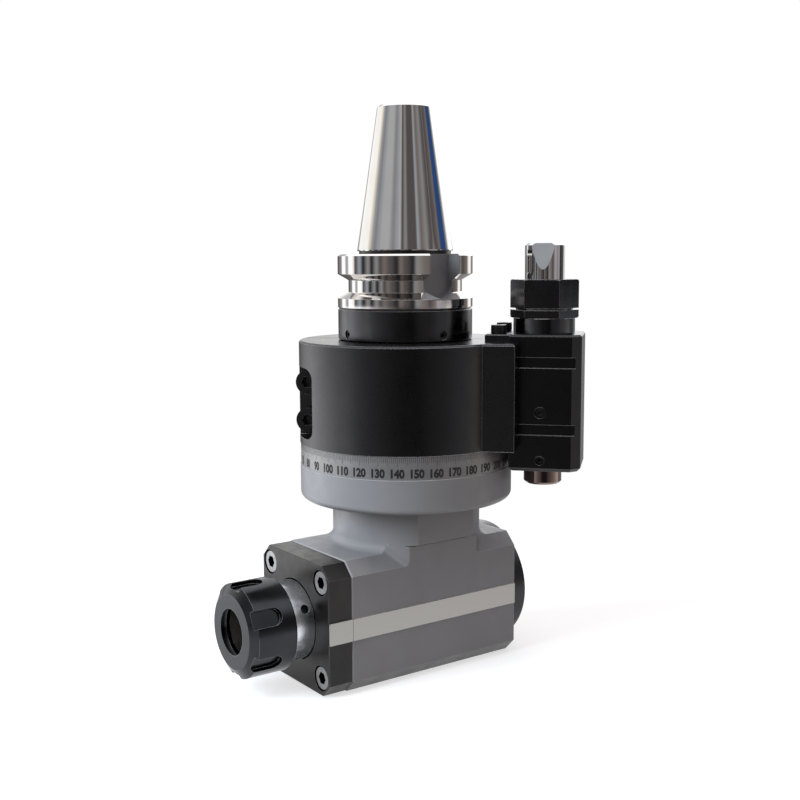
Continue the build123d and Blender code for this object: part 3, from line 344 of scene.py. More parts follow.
@dataclass(frozen=True)
class Finish:
    """A metal, oxide or paint finish, with the fine detail that its making leaves.

    Attributes:
        name: Name of the material.
        colour: Base colour, linear.
        metallic: 1 for bare or oxidised metal, less for paint and rubber.
        roughness: Mean roughness.
        mottle: How much the colour varies, as a share.
        mottle_size: Size of that variation, in metres.
        smear: How much the roughness varies, as a share.
        grain: Height of the fine surface grain, in metres.
        grain_size: Size of the grain, in metres.
        lines: Height of the turning or grinding lines, in metres.
        line_pitch: Distance between those lines, in metres.
        axis: Axis that the lines run round.
        edge: How much brighter the edges are, partly from wear and partly as a painted highlight.
        edge_colour: Colour of the edges, both worn metal and painted highlight.
        edge_radius: Rounding of the edges, in metres.
        patches: Parts of the node with another finish, with painted shade or with a painted reflection.
        thread_pitch: Rise of a turn of the thread round the spindle, if it has one.
        thread_span: Where that thread starts and ends, from the arbor's axis.
        thread_root: Radius inside that thread, which keeps it off the bore.
        thread_share: Depth of that thread, as a share of half its pitch.
        smear_share: Size of the smears, as a share of that of the mottle.
        layers: Finer layers in the mottle, the smears, the grain and the lines.
        edge_reach: How far the wear and the painted highlight reach, as a share of the edges' rounding.
        edge_turn: Cosine of the edge's turn from its face, where the wear and the painted highlight start and
            where they are full.
        draw: Scale of a flat face's lines along the spindle, small to draw them out.
    """

    name: str
    colour: Colour
    metallic: float = 1.0
    roughness: float = 0.3
    mottle: float = 0.1
    mottle_size: float = 0.012
    smear: float = 0.15
    grain: float = 0.0
    grain_size: float = 0.0006
    lines: float = 0.0
    line_pitch: float = 0.0004
    axis: TurningAxis = TurningAxis.NONE
    edge: float = 0.0
    edge_colour: Colour = (0.4, 0.39, 0.38)
    edge_radius: float = 0.0002
    patches: tuple[Patch, ...] = ()
    thread_pitch: float = 0.0
    thread_span: Span = (0.0, 0.0)
    thread_root: float = 0.0
    thread_share: float = 0.7
    smear_share: float = 0.4
    layers: tuple[float, float, float, float] = (4.0, 5.0, 3.0, 2.0)
    edge_reach: float = 1.3
    edge_turn: Span = (0.99, 0.86)
    draw: float = 0.02

    def material(self) -> bpy.types.Material:
        """Build the node material of this finish.

        Returns:
            The new material.
        """
        material, tree, shader = new_material(self.name)
        point = tree.add("ShaderNodeTexCoord").outputs["Object"]
        cloud_layers, smear_layers, grain_layers, line_layers = self.layers
        cloud = tree.noise(point, self.mottle_size, cloud_layers)
        inputs = {"Vector": self.colour, "Scale": tree.spread(cloud, 1 - self.mottle, 1 + self.mottle)}
        colour = tree.add("ShaderNodeVectorMath", inputs, operation="SCALE").outputs["Vector"]
        smears = tree.noise(point, self.smear_share * self.mottle_size, smear_layers)
        rough = tree.spread(smears, self.roughness * (1 - self.smear), self.roughness * (1 + self.smear))
        # Edges take a lighter colour: partly wear, partly a painted highlight.
        if self.edge:
            colour = tree.blend(self.worn_edges(tree), colour, self.edge_colour)
        shine: object = self.metallic
        for patch in self.patches:
            mask = patch.mask(tree, point)
            colour = tree.blend(mask, colour, patch.colour)
            rough = tree.blend_value(mask, rough, patch.roughness)
            shine = tree.blend_value(mask, shine, patch.metallic)
        normal = tree.rounded(self.edge_radius)
        if self.grain:
            normal = tree.bump(tree.noise(point, self.grain_size, grain_layers), self.grain, normal)
        if self.lines:
            along = self.line_point(tree, point)
            normal = tree.bump(tree.noise(along, self.line_pitch, line_layers), self.lines, normal)
        if self.thread_pitch:
            depth = self.thread_share * self.thread_pitch
            normal = tree.bump(self.thread_height(tree, point), depth, normal)
        inputs = {"Metallic": shine, "Base Color": colour, "Roughness": rough, "Normal": normal}
        tree.feed(shader, inputs)
        return material

    def thread_height(self, tree: NodeTree, point: Socket) -> Socket:
        """Height of the thread's ridge round the spindle.

        Args:
            tree: The material's nodes.
            point: The point in the part's frame.

        Returns:
            0 in the root and beside the thread, and 0.5 on the crest.
        """
        moved = tree.from_spindle(point)
        parts = tree.split(moved)
        turn = tree.maths("DIVIDE", tree.maths("ARCTAN2", parts["X"], parts["Z"]), math.tau)
        winding = tree.maths("ADD", turn, tree.maths("DIVIDE", parts["Y"], self.thread_pitch))
        ridge = tree.maths("PINGPONG", winding, 0.5)
        start, end = self.thread_span
        for side in (
            tree.maths("LESS_THAN", parts["Y"], -start),
            tree.maths("GREATER_THAN", parts["Y"], -end),
            tree.maths("GREATER_THAN", tree.distance(moved, ACROSS_SPINDLE), self.thread_root),
        ):
            ridge = tree.maths("MULTIPLY", ridge, side)
        return ridge

    def worn_edges(self, tree: NodeTree) -> Socket:
        """Find the edges, where the finish is worn thin and a highlight is painted along them.

        Args:
            tree: The material's nodes.

        Returns:
            How worn the finish is at each point, which also sets the painted highlight.
        """
        rounded = tree.rounded(self.edge_reach * self.edge_radius)
        plain = tree.add("ShaderNodeNewGeometry").outputs["Normal"]
        return tree.spread(tree.vector("DOT_PRODUCT", rounded, plain), 0.0, self.edge, self.edge_turn)

    def line_point(self, tree: NodeTree, point: Socket) -> Socket:
        """A point whose noise makes fine lines round the turning axis, or along a flat face.

        Args:
            tree: The material's nodes.
            point: The point in the part's frame.

        Returns:
            The radius and height about the axis, or the point drawn out along the spindle.
        """
        if self.axis is TurningAxis.NONE:
            return tree.vector("MULTIPLY", point, (1.0, self.draw, 1.0))
        if self.axis is TurningAxis.ARBOR:
            return tree.join(X=tree.distance(point, ACROSS_ARBOR), Y=tree.split(point)["Z"])
        moved = tree.from_spindle(point)
        return tree.join(X=tree.distance(moved, ACROSS_SPINDLE), Y=tree.split(moved)["Y"])


class Workshop:
    """Makes each finish once, and gives it to the nodes and pieces that have it."""

    def __init__(self, nodes: dict[str, bpy.types.Object]) -> None:
        """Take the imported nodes, with no finish made yet."""
        self.nodes = nodes
        self.made: dict[str, bpy.types.Material] = {}

    def material(self, finish: Finish) -> bpy.types.Material:
        """The material of a finish, made when it is first asked for.

        Args:
            finish: The finish.

        Returns:
            Its material.
        """
        if finish.name not in self.made:
            self.made[finish.name] = finish.material()
        return self.made[finish.name]

    def dress(self, name: str, finish: Finish) -> None:
        """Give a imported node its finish.

        Args:
            name: Name of the node.
            finish: Its finish.
        """
        material = self.material(finish)
        for slot in self.nodes[name].material_slots:
            slot.material = material
        LOG.info("%s: %s", name, finish.name)


@dataclass
class Piece:
    """A mesh under construction, in metres, with its place in the assembly.

    Attributes:
        name: Name of the piece.
        body: Body that it rides on.
        slot: Material slot of the record; not used.
        points: Its corners.
        faces: Its faces, as indices into the corners.
    """

    name: str
    body: str
    slot: str
    points: list[Point] = field(default_factory=list)
    faces: list[Face] = field(default_factory=list)

    def add(self, points: list[Point], faces: list[Face]) -> None:
        """Add corners and the faces between them.

        Args:
            points: New corners.
            faces: Faces, counted from the first new corner.
        """
        start = len(self.points)
        self.points.extend(points)
        self.faces.extend(tuple(start + index for index in face) for face in faces)

    def add_rows(self, rows: list[list[Point]]) -> None:
        """Join closed rows of corners into a closed tube with both ends capped.

        Args:
            rows: The rows, each with as many corners.
        """
        count = len(rows[0])
        corners = [corner for row in rows for corner in row]
        faces: list[Face] = [tuple(reversed(range(count)))]
        for row in range(len(rows) - 1):
            for step in range(count):
                after = (step + 1) % count
                low, high = row * count, (row + 1) * count
                faces.append((low + step, low + after, high + after, high + step))
        faces.append(tuple(range((len(rows) - 1) * count, len(rows) * count)))
        self.add(corners, faces)

    def build(self, material: bpy.types.Material) -> bpy.types.Object:
        """Make the object and let it ride on its body.

        Args:
            material: Its material.

        Returns:
            The new object.
        """
        mesh = bpy.data.meshes.new(self.name)
        mesh.from_pydata(self.points, [], self.faces)
        work = bmesh.new()
        work.from_mesh(mesh)
        bmesh.ops.remove_doubles(work, verts=work.verts, dist=MERGE_DISTANCE)
        bmesh.ops.recalc_face_normals(work, faces=work.faces)
        work.to_mesh(mesh)
        work.free()
        mesh.materials.append(material)
        piece = new_object(self.name, mesh)
        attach(piece, self.body)
        LOG.info("%s: %d corners on %s", self.name, len(mesh.vertices), self.body)
        return piece


@dataclass(frozen=True)
class Axis:
    """A line to turn things round.

    Attributes:
        origin: A point on it.
        along: Its direction.
        start: Direction of angle zero.
    """

    origin: Point
    along: Point
    start: Point

    def point(self, radius: float, angle: float, height: float) -> Point:
        """The point at a radius, angle and height about this axis.

        Args:
            radius: Distance from the axis.
            angle: Turn about it, in radians.
            height: Distance along it from the origin.

        Returns:
            The point.
        """
        along, start = Vector(self.along), Vector(self.start)
        side = along.cross(start)
        round_it = radius * (math.cos(angle) * start + math.sin(angle) * side)
        return tuple(Vector(self.origin) + round_it + height * along)


ARBOR = Axis((0.0, 0.0, 0.0), Z_AXIS, X_AXIS)


@dataclass(frozen=True)
class Knurl:
    """Straight ridges round the head of a screw.

    Attributes:
        radius: Radius of the head.
        length: Length of the ridges.
        depth: How far they stand out.
        count: Number of ridges.
        cover: Share of the head's round that they cover.
        crest_width: Width of their crest, as a share of that of their foot.
        profile: Heights along a ridge, and how far it stands out there, both as shares.
    """

    radius: float
    length: float
    depth: float = 0.07 * MM
    count: int = 60
    cover: float = 0.42
    crest_width: float = 0.2
    profile: tuple[Span, ...] = ((0.0, 0.3), (0.12, 1.0), (0.88, 1.0), (1.0, 0.3))

    def cut(self, piece: Piece, axis: Axis) -> None:
        """Add the ridges round one head.

        Args:
            piece: Piece that takes them.
            axis: Axis of the screw, from the foot of its ridges.
        """
        half = self.cover * math.pi / self.count
        narrow = self.crest_width * half
        foot = self.radius - self.depth / 2
        for step in range(self.count):
            angle = step * math.tau / self.count
            rows = []
            for height, share in self.profile:
                crest = foot + share * (self.radius + self.depth - foot)
                corners = ((foot, -half), (crest, -narrow), (crest, narrow), (foot, half))
                rows.append([axis.point(r, angle + a, height * self.length) for r, a in corners])
            piece.add_rows(rows)


@dataclass(frozen=True)
class Helix:
    """The ridge of a screw thread, or the wire of a spring.

    Attributes:
        foot: Radius of its foot.
        crest: Radius of its crest.
        half_foot: Half the width of its foot.
        half_crest: Half the width of its crest.
        pitch: Rise of a turn.
        turns: Number of turns.
        run_out: Turns that it takes to rise to its full height.
        end_height: Its height at its very ends, as a share of that.
        steps: Corners in a turn.
    """

    foot: float
    crest: float
    half_foot: float
    half_crest: float
    pitch: float
    turns: int
    run_out: float = 0.5
    end_height: float = 1.0
    steps: int = 48

    def cut(self, piece: Piece, axis: Axis) -> None:
        """Add the ridge or the wire.

        Args:
            piece: Piece that takes it.
            axis: Its axis, from its start.
        """
        count = self.turns * self.steps
        rows = []
        for step in range(count + 1):
            turn = step / self.steps
            rise = min(turn, self.turns - turn) / self.run_out
            crest = self.foot + max(min(1.0, rise), self.end_height) * (self.crest - self.foot)
            section = (
                (self.foot, -self.half_foot),
                (crest, -self.half_crest),
                (crest, self.half_crest),
                (self.foot, self.half_foot),
            )
            rows.append([axis.point(r, turn * math.tau, turn * self.pitch + h) for r, h in section])
        piece.add_rows(rows)


class Tone(Enum):
    """Colours of the panels that stand round the head."""

    LAMP = (3.1, 3.1, 3.2)
    BRIGHT = (1.9, 1.9, 1.95)
    WHITE = (1.4, 1.4, 1.38)
    CREAM = (1.0, 0.92, 0.78)
    PALE = (0.56, 0.57, 0.59)
    SLATE = (0.42, 0.46, 0.51)
    GREY = (0.33, 0.33, 0.34)
    TAUPE = (0.23, 0.2, 0.19)
    SHADE = (0.12, 0.11, 0.11)
    BLACK = (0.035, 0.035, 0.04)
    BLUE = (0.035, 0.09, 0.26)
    LILAC = (0.52, 0.47, 0.51)


# A wall of the studio, as metal shows it: its tone at each turn to the camera's right, in degrees.
Walls = dict[int, Tone]
UPPER_WALLS: Walls = {
    -180: Tone.WHITE, -160: Tone.PALE, -152: Tone.PALE, -147: Tone.WHITE, -106: Tone.WHITE, -98: Tone.CREAM,
    -88: Tone.SLATE, -80: Tone.GREY, -70: Tone.SLATE, -60: Tone.PALE, -44: Tone.PALE, -30: Tone.GREY,
    -20: Tone.SLATE, -13: Tone.PALE, -7: Tone.SHADE, 1: Tone.GREY, 9: Tone.SHADE, 27: Tone.SHADE,
    33: Tone.SLATE, 42: Tone.TAUPE, 56: Tone.GREY, 65: Tone.SHADE, 74: Tone.LILAC, 84: Tone.SHADE,
    93: Tone.TAUPE, 100: Tone.BLUE, 115: Tone.BLUE, 123: Tone.GREY, 133: Tone.WHITE, 141: Tone.BRIGHT,
}
LOWER_WALLS: Walls = {
    -180: Tone.PALE, -160: Tone.SHADE, -140: Tone.GREY, -129: Tone.BRIGHT, -116: Tone.SLATE,
    -107: Tone.BRIGHT, -99: Tone.WHITE, -93: Tone.SHADE, -83: Tone.SLATE, -75: Tone.BLACK, -65: Tone.GREY,
    -58: Tone.BLACK, -49: Tone.GREY, -42: Tone.SHADE, -35: Tone.TAUPE, -25: Tone.SHADE, -14: Tone.BLACK,
    -7: Tone.TAUPE, 1: Tone.SHADE, 13: Tone.BLACK, 20: Tone.GREY, 35: Tone.TAUPE, 42: Tone.SHADE,
    50: Tone.TAUPE, 57: Tone.LILAC, 73: Tone.GREY, 82: Tone.LILAC, 93: Tone.BLACK, 115: Tone.SHADE,
    128: Tone.TAUPE, 140: Tone.WHITE, 160: Tone.SHADE,
}
TABLE_WALLS: Walls = {
    -180: Tone.SHADE, -158: Tone.SHADE, -146: Tone.PALE, -132: Tone.WHITE, -118: Tone.LAMP, -98: Tone.LAMP,
    -72: Tone.BRIGHT, -47: Tone.PALE, -33: Tone.GREY, -21: Tone.TAUPE, -8: Tone.BLACK, 13: Tone.BLACK,
    33: Tone.TAUPE, 46: Tone.GREY, 66: Tone.PALE, 80: Tone.CREAM, 95: Tone.WHITE, 108: Tone.SLATE,
    135: Tone.GREY,
}


@dataclass(frozen=True)
class Lamp:
    """A square soft light that points at the head.

    Attributes:
        name: Name of the light.
        turn: Turn to the right of the camera, in degrees.
        rise: Height above the level, in degrees.
        distance: Distance from the head.
        size: Its side.
        power: Its power in watts.
        colour: Its colour.
    """

    name: str
    turn: float
    rise: float
    distance: float
    size: float
    power: float
    colour: Colour


@dataclass
class Studio:
    """Camera, floor, walls and lights.

    Attributes:
        place: Place of the camera.
        right: Direction to the picture's right.
        up: Direction to the picture's top.
        back: Direction from the object to the camera.
        lens: Focal length, in millimetres.
        film_width: Width of the film, in millimetres.
        near: Nearest distance that the camera sees.
        lamps: The lights.
        aim: Height that they point at.
        floor_height: Height of the floor.
        floor_radius: Radius of the round table top that is the floor.
        floor_sides: Number of its sides.
        floor_matt: Colour of the floor that lights the head.
        floor_seen: Colour of the floor that is seen, also in metal.
        floor_glow: How much white is added to that.
        floor_roughness: Roughness of the floor.
        plain_level: Light from above on matt surfaces.
        low_level: Light from below on matt surfaces.
        level_span: Rise where the one turns into the other, as sines, as all that follow.
        upper_span: Rise where the lower walls turn into the upper.
        table_span: Rise where they turn into the table's side.
        ceiling: Colour of the ceiling.
        ceiling_span: Rise where it starts and where it is full.
        ground: Colour of the room below the table.
        ground_span: Rise where it starts and where it is full.
    """

    place: Point = (0.427026, -0.308494, -0.004275)
    right: Point = (0.58201, 0.81316, -0.00503)
    up: Point = (-0.09861, 0.07672, 0.99217)
    back: Point = (0.80718, -0.57696, 0.12484)
    lens: float = 50.403
    film_width: float = 36.0
    near: float = 0.01
    lamps: tuple[Lamp, ...] = (
        Lamp("key_light", turn=-62, rise=28, distance=1.4, size=0.8, power=24, colour=(0.84, 0.96, 1.08)),
        Lamp("top_light", turn=60, rise=72, distance=1.3, size=0.5, power=5, colour=(1.0, 0.97, 0.94)),
    )
    aim: float = -0.08
    floor_height: float = -0.19505
    floor_radius: float = 0.24
    floor_sides: int = 96
    floor_matt: Colour = (0.14, 0.135, 0.13)
    floor_seen: Colour = (0.55, 0.55, 0.55)
    floor_glow: float = 0.6
    floor_roughness: float = 0.9
    plain_level: Colour = (0.52, 0.49, 0.5)
    low_level: Colour = (0.2, 0.185, 0.18)
    level_span: Span = (-0.35, 0.25)
    upper_span: Span = (0.02, 0.08)
    table_span: Span = (-0.043, -0.053)
    ceiling: Colour = (1.7, 1.73, 1.78)
    ceiling_span: Span = (0.42, 0.7)
    ground: Colour = (0.2, 0.19, 0.18)
    ground_span: Span = (-0.25, -0.5)

    def build(self) -> None:
        """Make the camera, the floor, the walls and the lights."""
        self.camera()
        self.floor()
        self.world()
        for lamp in self.lamps:
            self.light(lamp)

    def camera(self) -> None:
        """Make the camera at the photograph's place."""
        data = bpy.data.cameras.new("camera")
        data.lens = self.lens
        data.sensor_width = self.film_width
        data.clip_start = self.near
        camera = new_object("camera", data)
        rows = zip(self.right, self.up, self.back, self.place)
        camera.matrix_world = Matrix([list(row) for row in rows] + [[0, 0, 0, 1]])
        bpy.context.scene.camera = camera

    def floor(self) -> None:
        """Make the pale round table top that the head stands on."""
        sides = range(self.floor_sides)
        turns = (side * math.tau / self.floor_sides for side in sides)
        corners = [ARBOR.point(self.floor_radius, turn, self.floor_height) for turn in turns]
        mesh = bpy.data.meshes.new("floor")
        mesh.from_pydata(corners, [], [tuple(sides)])
        material, tree, shader = new_material("pale_floor")
        seen = tree.maths("MAXIMUM", tree.direct(), tree.mirrored())
        inputs = {
            "Base Color": tree.blend(seen, self.floor_matt, self.floor_seen),
            "Roughness": self.floor_roughness,
            "Specular IOR Level": 0.0,
            "Emission Color": (*WHITE, 1.0),
            "Emission Strength": tree.maths("MULTIPLY", seen, self.floor_glow),
        }
        tree.feed(shader, inputs)
        material.cycles.emission_sampling = "NONE"
        mesh.materials.append(material)
        floor = new_object("floor", mesh)

    def world(self) -> None:
        """Surround the head with a plain light, a white background and the walls that metal shows."""
        world = bpy.data.worlds.new("studio")
        bpy.context.scene.world = world
        world.use_nodes = True
        tree = NodeTree(world.node_tree)
        world.cycles.sampling_method = "NONE"
        direction = tree.add("ShaderNodeTexCoord").outputs["Generated"]
        across = tree.vector("DOT_PRODUCT", direction, self.right)
        towards = tree.vector("DOT_PRODUCT", direction, self.level(self.back))
        turn = tree.maths("ARCTAN2", across, towards)
        share = tree.spread(turn, 0.0, 1.0, (-math.pi, math.pi))
        rise = tree.split(direction)["Z"]
        light = self.walls(tree, share, LOWER_WALLS)
        for span, beyond in (
            (self.upper_span, self.walls(tree, share, UPPER_WALLS)),
            (self.table_span, self.walls(tree, share, TABLE_WALLS)),
            (self.ceiling_span, self.ceiling),
            (self.ground_span, self.ground),
        ):
            light = tree.blend(tree.spread(rise, 0.0, 1.0, span), light, beyond)
        level = tree.blend(tree.spread(rise, 0.0, 1.0, self.level_span), self.low_level, self.plain_level)
        light = tree.blend(tree.mirrored(), level, light)
        tree.feed(tree.nodes["Background"], {"Color": tree.blend(tree.direct(), light, WHITE)})

    def level(self, direction: Point) -> Vector:
        """A direction brought down to the level."""
        return Vector((direction[0], direction[1], 0.0)).normalized()

    def walls(self, tree: NodeTree, share: Socket, walls: Walls) -> Socket:
        """Colour the studio's walls by direction.

        Args:
            tree: The world's nodes.
            share: Turn about the object, from 0 to 1.
            walls: The walls, in order.

        Returns:
            The colour of the wall.
        """
        node = tree.add("ShaderNodeValToRGB", {"Fac": share})
        ramp = node.color_ramp
        while len(ramp.elements) > 1:
            ramp.elements.remove(ramp.elements[-1])
        for step, (angle, tone) in enumerate(walls.items()):
            place = angle / FULL_TURN + 0.5
            stop = ramp.elements[0] if step == 0 else ramp.elements.new(place)
            stop.position = place
            stop.color = (*tone.value, 1.0)
        ramp.interpolation = "EASE"
        return node.outputs["Color"]

    def light(self, lamp: Lamp) -> None:
        """Make a light, which metal doesn't mirror.

        Args:
            lamp: The light.
        """
        angle, lift = math.radians(lamp.turn), math.radians(lamp.rise)
        level = math.cos(angle) * self.level(self.back) + math.sin(angle) * self.level(self.right)
        towards = math.cos(lift) * level + math.sin(lift) * Vector(Z_AXIS)
        data = bpy.data.lights.new(lamp.name, "AREA")
        data.size = lamp.size
        data.energy = lamp.power
        data.color = lamp.colour
        light = new_object(lamp.name, data)
        light.visible_glossy = False
        light.location = Vector((0.0, 0.0, self.aim)) + lamp.distance * towards
        light.rotation_euler = towards.to_track_quat("Z", "Y").to_euler()


DATUM_STRIP = Patch(
    low=(29.25, -1.0, -4.98),
    high=(30.5, 70.0, 4.98),
    colour=(0.34, 0.325, 0.305),
    roughness=0.38,
    on_spindle=True,
)
DRIVE_SLOT = Patch(
    low=(22.5, -1.0, -22.6), high=(32.0, 8.1, -1.9), colour=(0.17, 0.165, 0.17), roughness=0.42, metallic=0.25
)
# Painted shade: the relief groove under the taper, coloured nearly black.
RELIEF_GROOVE_SHADE = Patch(
    low=(-1.0, -1.0, -2.01), high=(22.15, 22.15, -0.4), colour=(0.05, 0.048, 0.046), roughness=0.3
)
# Painted shade: the spindle's nose and bore inside the collet nut, coloured darker than the ground steel.
SPINDLE_BORE_SHADE = Patch(
    low=(-1.0, 72.4, -20.0),
    high=(20.0, 95.0, 20.0),
    colour=(0.3, 0.285, 0.275),
    roughness=0.3,
    on_spindle=True,
)
# Painted shade: the insides of the collar's spanner holes, coloured black and matt.
SPANNER_HOLE_SHADE = Patch(
    low=(-1.0, 64.0, -18.0),
    high=(18.0, 68.4, 18.0),
    colour=(0.02, 0.02, 0.02),
    roughness=0.6,
    metallic=0.0,
    on_spindle=True,
    within=17.85,
)
# Painted reflection: the pin's tail, coloured dark reddish brown for the dark surroundings it mirrors.
PIN_TAIL_REFLECTION = Patch(
    low=(-1.0, -1.0, -115.0), high=(90.0, 90.0, -99.9), colour=(0.22, 0.165, 0.15), roughness=0.1
)
# Painted shade: the hex sockets of the cover screws, coloured near black.
SCREW_SOCKET_SHADE = tuple(
    Patch(
        low=(19.1, 58.6, height - 2.9),
        high=(24.9, 61.75, height + 2.9),
        colour=(0.012, 0.012, 0.012),
        roughness=0.35,
        on_spindle=True,
    )
    for height in (-21.5, 21.5)
)
PAINT = Finish(
    "silver_grey_paint",
    (0.235, 0.232, 0.236),
    metallic=0.06,
    roughness=0.4,
    mottle=0.04,
    mottle_size=0.02,
    grain=1.2e-5,
    grain_size=0.0007,
    edge=0.6,
    edge_colour=(0.75, 0.75, 0.76),
    edge_radius=0.0003,
    patches=(DATUM_STRIP,),
)
COVER_OXIDE = Finish(
    "ground_cover_oxide",
    (0.034, 0.032, 0.031),
    roughness=0.34,
    mottle=0.08,
    grain=6e-6,
    grain_size=0.0004,
    lines=4e-6,
    edge=0.5,
    patches=(DATUM_STRIP,),
)
BLACK_OXIDE = Finish(
    "black_oxide",
    (0.042, 0.042, 0.044),
    roughness=0.28,
    mottle=0.04,
    smear=0.06,
    grain=2.5e-6,
    grain_size=0.00035,
    edge=0.75,
    edge_colour=(0.45, 0.44, 0.43),
    edge_radius=0.0003,
)
BLOCK_OXIDE = replace(
    BLACK_OXIDE,
    name="block_oxide",
    colour=(0.03, 0.03, 0.032),
    roughness=0.24,
    edge=0.5,
    edge_colour=Finish.edge_colour,
    edge_radius=0.00025,
)
NUT_OXIDE = Finish(
    "nut_oxide",
    (0.034, 0.036, 0.039),
    roughness=0.21,
    grain=4e-6,
    grain_size=0.0004,
    lines=3e-6,
    axis=TurningAxis.SPINDLE,
    edge=0.6,
)
TAPER_STEEL = Finish(
    "ground_taper_steel",
    (0.64, 0.62, 0.6),
    roughness=0.028,
    mottle=0.03,
    lines=6e-7,
    line_pitch=0.0003,
    axis=TurningAxis.ARBOR,
    edge=0.3,
    edge_colour=(0.75, 0.74, 0.72),
    edge_radius=0.00012,
    patches=(DRIVE_SLOT, RELIEF_GROOVE_SHADE),
)
DIAL_STEEL = Finish(
    "matt_dial_steel",
    (0.21, 0.203, 0.2),
    metallic=0.35,
    roughness=0.36,
    mottle=0.08,
    mottle_size=0.004,
    grain=4e-6,
    grain_size=0.0003,
    lines=3e-6,
    axis=TurningAxis.ARBOR,
    edge=0.7,
    edge_colour=(0.8, 0.8, 0.78),
)
SPINDLE_STEEL = Finish(
    "ground_spindle_steel",
    (0.7, 0.72, 0.75),
    roughness=0.25,
    mottle=0.05,
    lines=2.5e-6,
    axis=TurningAxis.SPINDLE,
    edge=0.3,
    patches=(SPINDLE_BORE_SHADE, SPANNER_HOLE_SHADE),
    thread_pitch=1.5 * MM,
    thread_span=(72.6 * MM, 88.0 * MM),
    thread_root=15.2 * MM,
)
PIN_STEEL = Finish(
    "ground_pin_steel", (0.62, 0.61, 0.6), roughness=0.06, mottle=0.04, edge=0.3, patches=(PIN_TAIL_REFLECTION,)
)
COLLAR_OXIDE = Finish(
    "collar_oxide",
    (0.052, 0.052, 0.055),
    roughness=0.21,
    grain=4e-6,
    grain_size=0.00035,
    edge=0.7,
    edge_radius=0.00025,
)
SLEEVE_OXIDE = replace(COLLAR_OXIDE, name="sleeve_oxide", colour=(0.062, 0.062, 0.066), roughness=0.15)
SCREW_BLACK = Finish("black_screw", (0.035, 0.035, 0.037), roughness=0.28, edge=0.25, edge_radius=0.00015)
SCREW_WORN = Finish(
    "worn_screw",
    (0.28, 0.275, 0.27),
    metallic=0.6,
    roughness=0.36,
    mottle_size=0.003,
    edge=0.6,
    patches=SCREW_SOCKET_SHADE,
)
BEARING_STEEL = Finish("bearing_steel", (0.68, 0.68, 0.68), roughness=0.12, mottle=0.03)
GEAR_STEEL = Finish("gear_steel", (0.4, 0.39, 0.37), roughness=0.26, grain=4e-6, edge=0.2)
TURNED_STEEL = Finish("turned_steel", (0.5, 0.49, 0.47), lines=3e-6, axis=TurningAxis.ARBOR)
SPRING_STEEL = Finish("spring_steel", (0.3, 0.29, 0.28))
RUBBER = Finish("seal_rubber", (0.02, 0.02, 0.02), metallic=0.0, roughness=0.6, grain=2e-5)
DIAL_INK = Finish(
    "dial_ink", (0.004, 0.004, 0.004), metallic=0.0, roughness=0.6, mottle=0.3, mottle_size=0.002
)
MARK_INK = Finish(
    "faint_dial_ink", (0.05, 0.047, 0.045), metallic=0.1, roughness=0.45, mottle=0.35, mottle_size=0.0015
)


Finishes = dict[Finish, tuple[str, ...]]


@dataclass
class SubAssembly:
    """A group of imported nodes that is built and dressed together.

    Attributes:
        finishes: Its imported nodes, by their finish.
        workshop: Where its finishes are made.
        body: Body that its added pieces ride on.
    """

    finishes: ClassVar[Finishes] = {}
    workshop: Workshop
    body: str = "gear_head"

    def build(self) -> None:
        """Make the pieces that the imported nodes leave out."""

    def dress(self) -> None:
        """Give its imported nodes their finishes."""
        for finish, names in self.finishes.items():
            for name in names:
                self.workshop.dress(name, finish)


@dataclass
class InputArbor(SubAssembly):
    """The tapered arbor that the machine drives, with its collar and its bearings' inner rings.

    Attributes:
        thread: The thread of the drawbar hole.
        thread_start: Height of its lower end.
    """

    finishes: ClassVar[Finishes] = {
        TAPER_STEEL: ("taper_arbor",),
        COLLAR_OXIDE: ("orientation_collar",),
        SCREW_BLACK: ("collar_set_screws",),
        BEARING_STEEL: ("upper_bearing_inner", "lower_bearing_inner"),
        TURNED_STEEL: ("inner_spacer",),
    }
    body: str = "input_arbor"
    thread: Helix = Helix(
        foot=7.02 * MM,
        crest=6.76 * MM,
        half_foot=0.84 * MM,
        half_crest=0.16 * MM,
        pitch=2.0 * MM,
        turns=16,
        end_height=0.05,
    )
    thread_start: float = 24.0 * MM

    def build(self) -> None:
        """Make the thread of the drawbar hole."""
        thread = Piece("drawbar_thread", self.body, "taper_steel")
        self.thread.cut(thread, Axis((0.0, 0.0, self.thread_start), Z_AXIS, X_AXIS))
        thread.build(self.workshop.material(TURNED_STEEL))


@dataclass
class GearTrain(SubAssembly):
    """The bevel gears with their keys and screw."""

    finishes: ClassVar[Finishes] = {
        GEAR_STEEL: ("arbor_gear", "spindle_gear"),
        TURNED_STEEL: ("arbor_gear_key", "spindle_gear_key"),
        SCREW_BLACK: ("arbor_gear_screw",),
    }


@dataclass
class OutputSpindle(SubAssembly):
    """The output spindle with its bearings' inner rings and locknuts."""

    finishes: ClassVar[Finishes] = {
        SPINDLE_STEEL: ("output_spindle",),
        BEARING_STEEL: ("front_bearing_inners", "rear_bearing_inner"),
        TURNED_STEEL: ("spindle_locknut", "rear_locknut"),
    }
    body: str = "output_spindle"


@dataclass
class ColletNut(SubAssembly):
    """The slotted collet nut with its ring."""

    finishes: ClassVar[Finishes] = {NUT_OXIDE: ("collet_nut", "extractor_ring")}
    body: str = "collet_nut"


@dataclass
class GearHousing(SubAssembly):
    """The casing with its bearings' outer rings, front cover and rear cap."""

    finishes: ClassVar[Finishes] = {
        PAINT: ("gear_housing",),
        TURNED_STEEL: ("bearing_retainer", "outer_spacer"),
        RUBBER: ("arbor_seal",),
        BEARING_STEEL: (
            "upper_bearing_outer",
            "upper_bearing_balls",
            "lower_bearing_outer",
            "lower_bearing_balls",
            "front_bearing_outers",
            "front_bearing_balls",
            "rear_bearing_outer",
            "rear_bearing_balls",
        ),
        COVER_OXIDE: ("front_cover",),
        SCREW_WORN: ("cover_screws",),
        BLACK_OXIDE: ("rear_cap",),
    }


